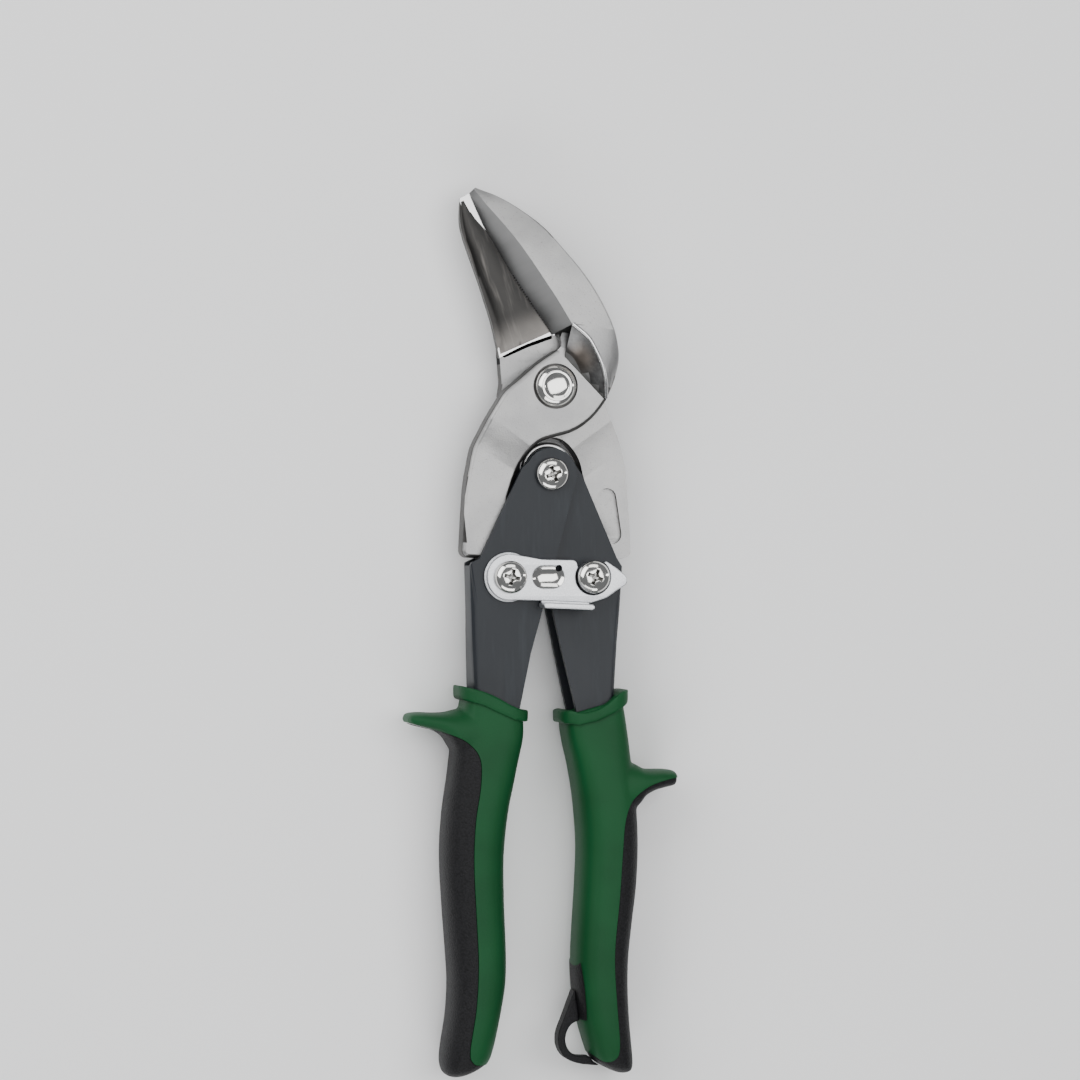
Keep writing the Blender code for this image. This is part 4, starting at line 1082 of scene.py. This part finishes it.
def screw_points(rows):
    """Points for the tree: where each head seats, how far it is turned, and its shank's length."""
    mesh = bpy.data.meshes.new("screw_points")
    mesh.from_pydata([point(*centre, seat) for centre, seat, _, _ in rows], [], [])
    for name, column in (("turn", 2), ("length", 3)):
        values = [row[column] for row in rows]
        mesh.attributes.new(name, "FLOAT", "POINT").data.foreach_set("value", values)
    return mesh


def seat_of(node):
    """Sketch height of a screw head's underside, and the screw's length below it in metres."""
    low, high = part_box(node)
    seat = high.z - HEAD_RISE * MM
    return seat / MM - SHEAR, seat - low.z


for name, body, rows in (
    ("left_screws", "left_handle_body", (("fulcrum_screw", FULCRUM, 20), ("left_link_screw", LEFT_LINK, -13))),
    ("right_screw", "right_handle_body", (("right_link_screw", RIGHT_LINK, -22),)),
):
    placed = []
    for node, centre, angle in rows:
        seat, length = seat_of(node)
        placed.append((centre, seat, math.radians(angle), length))
    made = screws.grow(screw_points(placed), Head=head_source)
    new_piece(name, shaded(made, 40), body, [node for node, _, _ in rows], list(made.materials))
bpy.data.objects.remove(head_source)

# %% [markdown]
# The latch is a stamped plate. Its outline, the pivot hole and the dimple's opening are splines of one flat
# curve, and the curve's own bevel rounds all their rims; the little eye overlaps the dimple, so it is
# drilled through both. The thumb tab is folded up along the lower edge, and the dimple is a bright dish.

# %% Latch
LATCH_LOW, LATCH_HIGH = 7.4, 8.9
NOTCH = 5.05
latch_line = [
    *arc(LEFT_LINK, 6.5, 80, 280, 40),
    *smooth_line([(-10.4, -60.15), (-5.0, -60.3)], 1),
    *smooth_line([(9.6, -61.0), (12.0, -60.3), (14.4, -59.4), (17.3, -57.4)], 5),
    *arc((18.3, -54.6), 1.9, -50, 45, 10),
    *smooth_line([(17.1, -51.2), (14.7, -49.6), (13.9, -49.3)], 4),
    *arc(RIGHT_LINK, NOTCH, 411, 149, 60),
    *arc((4.3, -50.4), 1.5, 0, 90, 8),
    *smooth_line([(0.0, -48.8), (-4.2, -48.7), (-8.4, -48.0)], 6),
]
latch_line = [tuple(p) for p in latch_line]
DIMPLE, EYE, EYE_RADIUS, TAB_TOP = ((-4.0, -53.7), (-1.2, -53.7)), (0.45, -51.2), 0.95, 14.6
tab_line = [*arc((-4.3, -61.55), 0.78, 90, 270, 8), *arc((8.7, -62.15), 0.78, -90, 90, 8)]
root_line = [(-4.6, -59.6), (9.2, -60.3), (9.2, -62.0), (-4.6, -61.4)]
stamped = plate("latch_plate", [latch_line, arc(LEFT_LINK, 2.3, 0, 345, 24), stadium(*DIMPLE, 3.15)],
                LATCH_LOW, LATCH_HIGH, 0.28, 4)
latch_mesh = joined([drilled(stamped, EYE, EYE_RADIUS, 0, 20, 32),
                     plate("latch_tab", [tab_line], LATCH_LOW, TAB_TOP, 0.3, 4),
                     plate("latch_fold", [root_line], LATCH_LOW + 0.1, LATCH_HIGH - 0.15, 0.2, 2)])
dish_rings = []
for u in np.linspace(0, 1, 12):
    depth = LATCH_HIGH - 0.08 - 1.1 * (1 - (1 - u) ** 2)
    dish_rings.append([(x, y, depth) for x, y in stadium(*DIMPLE, 3.35 - 3.1 * u)])
under = [[(x, y, LATCH_HIGH - 1.35) for x, y, _ in dish_rings[i]] for i in (0, -1)]
dish = drilled(skin("dimple", [*dish_rings[::-1], *under]), EYE, EYE_RADIUS, 0, 20, 32)
flat_faces = len(latch_mesh.polygons)
latch_mesh = joined([latch_mesh, dish])
for face in latch_mesh.polygons:
    face.material_index = int(face.index >= flat_faces)
new_piece("latch_hook", shaded(latch_mesh, 32), "latch_body", ["latch"], [ZINC, CHROME])

# %% [markdown]
# Rings and washers are turned profiles with small radii. The hexagon nuts keep their CAD shape, with
# their corners eased.


# %% Washers, bush, spacer and nuts
def ring(node, centre, inner, edge):
    """A turned ring with rounded rims, as high and wide as its CAD node."""
    low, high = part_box(node)
    outer = (high.x - low.x) / 2 / MM
    bottom, top = low.z / MM - SHEAR, high.z / MM - SHEAR
    waist = (inner, (top + bottom) / 2)
    profile = [waist, (inner, top - edge), (inner + edge, top), (outer - edge, top),
               (outer - edge * 0.3, top - edge * 0.3), (outer, top - edge), (outer, bottom + edge),
               (outer - edge, bottom), (inner + edge, bottom), (inner, bottom + edge), waist]
    return shaded(turned(node + "_ring", profile, centre, 80), 45)


for node, centre, inner, edge, body in (
    ("latch_wave_washer", LEFT_LINK, 2.6, 0.2, "left_handle_body"),
    ("fulcrum_bush", FULCRUM, 2.1, 0.3, "left_handle_body"),
    ("right_link_spacer", RIGHT_LINK, 2.1, 0.3, "right_handle_body"),
    ("pivot_washer", PIVOT, 4.2, 0.2, "front_blade_body"),
):
    new_piece(node + "_turned", ring(node, centre, inner, edge), body, [node], [ZINC])
for node, body in (("pivot_lock_nut", "front_blade_body"), ("fulcrum_nut", "left_handle_body"),
                   ("left_link_nut", "left_handle_body"), ("right_link_nut", "right_handle_body")):
    new_piece(node + "_eased", rounded(welded_copy(node), 0.35, 3), body, [node], [CHROME])

# %% [markdown]
# The return spring is one wire: a leg in each channel and two turns round the fulcrum. A tree sweeps a
# circle along its line, and the same tree would serve any other wire.

# %% Return spring
COIL_CENTRE, COIL_RADIUS, WIRE_RADIUS, COIL_TURNS = (-1.1, -23.2), 6.6, 0.95, 2.0
LEFT_LEG = [(-4.6, -33.0), (-3.9, -44.0), (-3.8, -56.5), (-7.0, -64.0), (-13.0, -69.0), (-20.2, -72.0)]
RIGHT_LEG = [(3.0, -33.0), (1.4, -44.0), (1.2, -56.5), (4.6, -64.0), (10.0, -69.0), (15.4, -72.0)]
rise = WIRE_RADIUS + 0.08
COIL_POINTS = 90
turns = np.linspace(200, -20 - 360 * (COIL_TURNS - 1), COIL_POINTS)
coil = [(*arc(COIL_CENTRE, COIL_RADIUS, angle, angle, 1)[0], z)
        for angle, z in zip(turns, np.linspace(-rise, rise, COIL_POINTS))]
left_leg = [(*p, -rise) for p in smooth_line(LEFT_LEG, 5)[::-1]]
right_leg = [(*p, rise) for p in smooth_line(RIGHT_LEG, 5)]
spring = wire.grow(line_mesh("wire_path", left_leg + coil + right_leg), Wire_Radius=WIRE_RADIUS * MM)
new_piece("spring_wire", shaded(spring, 50), "left_handle_body", ["return_spring"], [WIRE])

# %% [markdown]
# A grip flows: the body swells for the palm, and the finger guard grows out of it with no crease. The
# body, guard and rim are skinned over rounded sections, then remeshed into one fine skin and relaxed,
# which melts the joints together as a moulded part's fillets do.


# %% Grip shapes
def oval(start, end, half, power, count=60):
    """A rounded section between two plan points; a high power squares it."""
    ring = []
    for angle in np.arange(count) * 2 * math.pi / count:
        across = math.copysign(abs(math.cos(angle)) ** (2 / power), math.cos(angle))
        through = math.copysign(abs(math.sin(angle)) ** (2 / power), math.sin(angle))
        ring.append((*((start + end) / 2 + (end - start) / 2 * across), half * through))
    return ring


KEPT_HALF = 0.994


def swept(name, sections, steps=4):
    """A skin over sections of (end, end, half thickness, squareness), a hair thinner than they say."""
    rows = smooth_line([[*a, *b, *rest] for a, b, *rest in sections], steps)
    return skin(name, [oval(row[:2], row[2:4], KEPT_HALF * row[4], row[5]) for row in rows])


LEFT_BODY = [
    ((-25.0, -86.4), (-9.0, -92.3), 9.2, 4.2), ((-25.7, -89.5), (-8.8, -95.5), 9.4, 4.2),
    ((-26.8, -95.0), (-9.0, -99.5), 9.9, 4.0), ((-28.6, -102.0), (-10.2, -105.5), 10.3, 3.5),
    ((-29.7, -110.0), (-11.4, -111.8), 10.7, 3.1), ((-31.2, -120.0), (-13.0, -120.0), 11.0, 2.9),
    ((-31.9, -132.0), (-14.2, -132.0), 11.0, 2.8), ((-31.2, -146.0), (-14.1, -146.0), 11.0, 2.8),
    ((-30.2, -159.0), (-13.6, -159.0), 11.0, 2.8), ((-29.7, -168.0), (-13.8, -168.0), 11.0, 2.8),
    ((-30.2, -177.0), (-15.3, -177.0), 11.0, 2.8), ((-31.7, -186.0), (-17.2, -186.0), 10.6, 2.7),
    ((-32.0, -190.6), (-18.9, -190.3), 9.6, 2.6), ((-31.0, -193.4), (-22.4, -192.8), 7.2, 2.5),
    ((-29.0, -194.5), (-25.4, -194.2), 3.4, 2.4),
]
RIGHT_BODY = [
    ((19.7, -88.0), (3.5, -92.5), 9.2, 4.2), ((20.5, -92.5), (3.4, -96.0), 9.4, 4.2),
    ((21.5, -99.5), (4.2, -101.0), 9.9, 4.0), ((22.4, -106.0), (5.3, -106.0), 10.3, 3.5),
    ((23.6, -113.0), (6.5, -113.0), 10.7, 3.1), ((24.4, -120.0), (7.3, -120.0), 11.0, 2.9),
    ((24.8, -130.0), (7.9, -130.0), 11.0, 2.8), ((24.3, -141.0), (7.5, -141.0), 11.0, 2.8),
    ((23.1, -151.0), (6.9, -151.0), 11.0, 2.8), ((22.0, -161.0), (6.4, -161.0), 11.0, 2.8),
    ((21.8, -170.0), (6.8, -170.0), 11.0, 2.8), ((22.2, -179.0), (8.1, -179.0), 11.0, 2.8),
    ((22.9, -186.0), (10.0, -186.0), 10.6, 2.7), ((23.4, -191.0), (11.9, -190.6), 9.6, 2.6),
    ((23.1, -193.5), (16.0, -193.2), 7.2, 2.5), ((21.6, -194.5), (18.8, -194.4), 3.4, 2.4),
]
LEFT_GUARD = [
    ((-41.8, -92.9), (-41.8, -94.3), 4.6, 2.7), ((-41.0, -91.9), (-40.8, -95.3), 7.2, 2.7),
    ((-38.0, -91.6), (-37.4, -96.2), 8.6, 2.7), ((-34.0, -91.8), (-33.6, -97.2), 9.2, 2.7),
    ((-30.6, -91.7), (-30.6, -99.4), 9.6, 2.7), ((-27.6, -91.0), (-28.2, -103.0), 9.9, 2.7),
    ((-22.0, -90.0), (-22.0, -106.0), 9.9, 2.7),
]
RIGHT_GUARD = [
    ((35.8, -109.5), (35.8, -112.6), 5.2, 2.7), ((35.1, -108.7), (34.9, -113.3), 7.4, 2.7),
    ((32.3, -108.4), (32.0, -113.9), 8.7, 2.7), ((29.0, -108.4), (29.0, -114.8), 9.2, 2.7),
    ((26.2, -108.0), (26.4, -116.4), 9.6, 2.7), ((23.6, -106.6), (24.2, -119.2), 9.9, 2.7),
    ((18.5, -105.0), (18.5, -121.0), 9.9, 2.7),
]
LEFT_COLLAR = [
    *smooth_line([(-27.3, -84.0), (-21.5, -85.6), (-17.4, -87.3), (-13.3, -89.6), (-9.8, -90.9),
                  (-7.5, -91.1)], 4),
    (-7.3, -93.9), (-8.2, -94.4), (-12.4, -93.7), (-17.4, -91.5), (-21.5, -89.5), (-26.2, -88.2),
    (-27.5, -87.2),
]
RIGHT_COLLAR = [
    *smooth_line([(1.6, -91.6), (4.0, -91.2), (7.0, -91.9), (11.4, -90.9), (14.5, -89.2), (18.4, -86.2),
                  (21.3, -85.5)], 4),
    (21.8, -86.6), (21.4, -88.6), (20.2, -89.8), (16.6, -91.9), (11.4, -94.3), (6.4, -95.3), (2.4, -95.0),
    (1.4, -93.6),
]
LEFT_SEAM = smooth_line([(-44.0, -93.9), (-38.5, -95.4), (-31.0, -97.6), (-25.6, -100.2), (-22.4, -104.6),
                         (-22.3, -112.0), (-23.8, -122.0), (-24.3, -134.0), (-23.6, -149.0), (-23.0, -162.0),
                         (-23.6, -174.0), (-25.3, -186.0), (-24.2, -189.6), (-21.6, -190.4), (-14.0, -190.6)], 5)
RIGHT_SEAM = smooth_line([(38.0, -110.2), (31.0, -111.4), (25.4, -113.6), (21.4, -117.4), (19.4, -122.5),
                          (18.6, -131.0), (17.7, -144.0), (16.5, -156.0), (16.3, -164.0), (17.0, -175.0),
                          (17.8, -186.0), (16.6, -189.6), (13.4, -190.3), (9.6, -187.6), (2.0, -184.0)], 5)
COLLAR_HALF, COLLAR_POWER = 10.2, 3.6
STEP_DOWN, WEB_RISE = -0.25, 0.22


def one_skin(meshes, voxel=0.55, relax=6):
    """Overlapping closed meshes as one fine, softly blended skin."""
    obj = helper("moulding", joined(meshes))
    remesh = obj.modifiers.new("one skin", "REMESH")
    remesh.mode, remesh.voxel_size = "VOXEL", voxel * MM
    relaxed = obj.modifiers.new("relax", "SMOOTH")
    relaxed.factor, relaxed.iterations = 0.5, relax
    return baked(obj)


def beside(seam, outward, shift):
    """Plan region beyond a seam on the grip's outer side, as a closed outline."""
    line = np.array(seam)
    along = np.gradient(line, axis=0)
    along /= np.linalg.norm(along, axis=1)[:, None]
    line = line + shift * outward * np.column_stack([along[:, 1], -along[:, 0]])
    line = [tuple(p) for p in line]
    return [*line, (line[-1][0], -205), (outward * 60, -205), (outward * 60, line[0][1])]


def swollen(mesh, amount):
    """The mesh moved along its own normals, in millimetres."""
    obj = helper("swelling", mesh.copy())
    step = obj.modifiers.new("swell", "DISPLACE")
    step.mid_level, step.strength = 0.0, amount * MM
    return baked(obj)


# %% [markdown]
# The two plastics are the same skin divided along the seam. The soft one lies a quarter of a millimetre
# lower, so a real step runs down the grip and catches light. Its second shot stops a little short of the
# hard one, which gives the dark line between them.

# %% Grips
for side, outward, sections, guard, collar, spans, seam in (
    ("left", -1, LEFT_BODY, LEFT_GUARD, LEFT_COLLAR, ((-27.4, -7.3), (-27.2, -7.5)), LEFT_SEAM),
    ("right", 1, RIGHT_BODY, RIGHT_GUARD, RIGHT_COLLAR, ((21.6, 1.5), (21.4, 1.6)), RIGHT_SEAM),
):
    shell = one_skin([swept("grip_body", sections), swept("guard", guard, 5)])
    rim_round = skin("rim_round", [oval(np.array((a, y)), np.array((b, y)), COLLAR_HALF, COLLAR_POWER, 80)
                                   for (a, b), y in zip(spans, (-80, -99))])
    rim = boolean(plate("rim", [[tuple(p) for p in collar]], -15, 15), rim_round, "INTERSECT")
    rim = one_skin([rim], 0.4, 5)
    hard = boolean(shell.copy(), plate("hard_cut", [beside(seam, outward, 0.12)], -20, 20))
    hard = joined([hard, rim])
    soft_side = plate("soft_keep", [beside(seam, outward, -0.02)], -20, 20)
    soft = boolean(swollen(shell, STEP_DOWN), soft_side, "INTERSECT")
    body = f"{side}_handle_body"
    new_piece(f"{side}_hard_grip", shaded(hard, 40), body, [f"{side}_grip"], [GREEN])
    new_piece(f"{side}_soft_grip", shaded(soft, 40), body, [f"{side}_grip_inlay"], [BLACK])
    if side == "right":
        right_shell = shell

# %% [markdown]
# The hanging strap is moulded with the soft shot. It is a plain loop, so its CAD copy is remeshed and
# relaxed in the same way, and comes out with a rubbery roundness. A thin web of the same rubber, cut from
# the grip's own skin and raised a little, ties it to the hard grip.

# %% Hanging loop
WEB = [(7.1, -162.4), (8.0, -169.5), (8.8, -178.6), (2.5, -179.5), (3.0, -172.0), (4.6, -167.0)]
web = boolean(swollen(right_shell, WEB_RISE), plate("web", [WEB], -20, 20), "INTERSECT")
strap = joined([one_skin([welded_copy("hanging_loop")], 0.35, 4), web])
new_piece("strap", shaded(strap, 60), "right_handle_body", ["hanging_loop"], [BLACK])
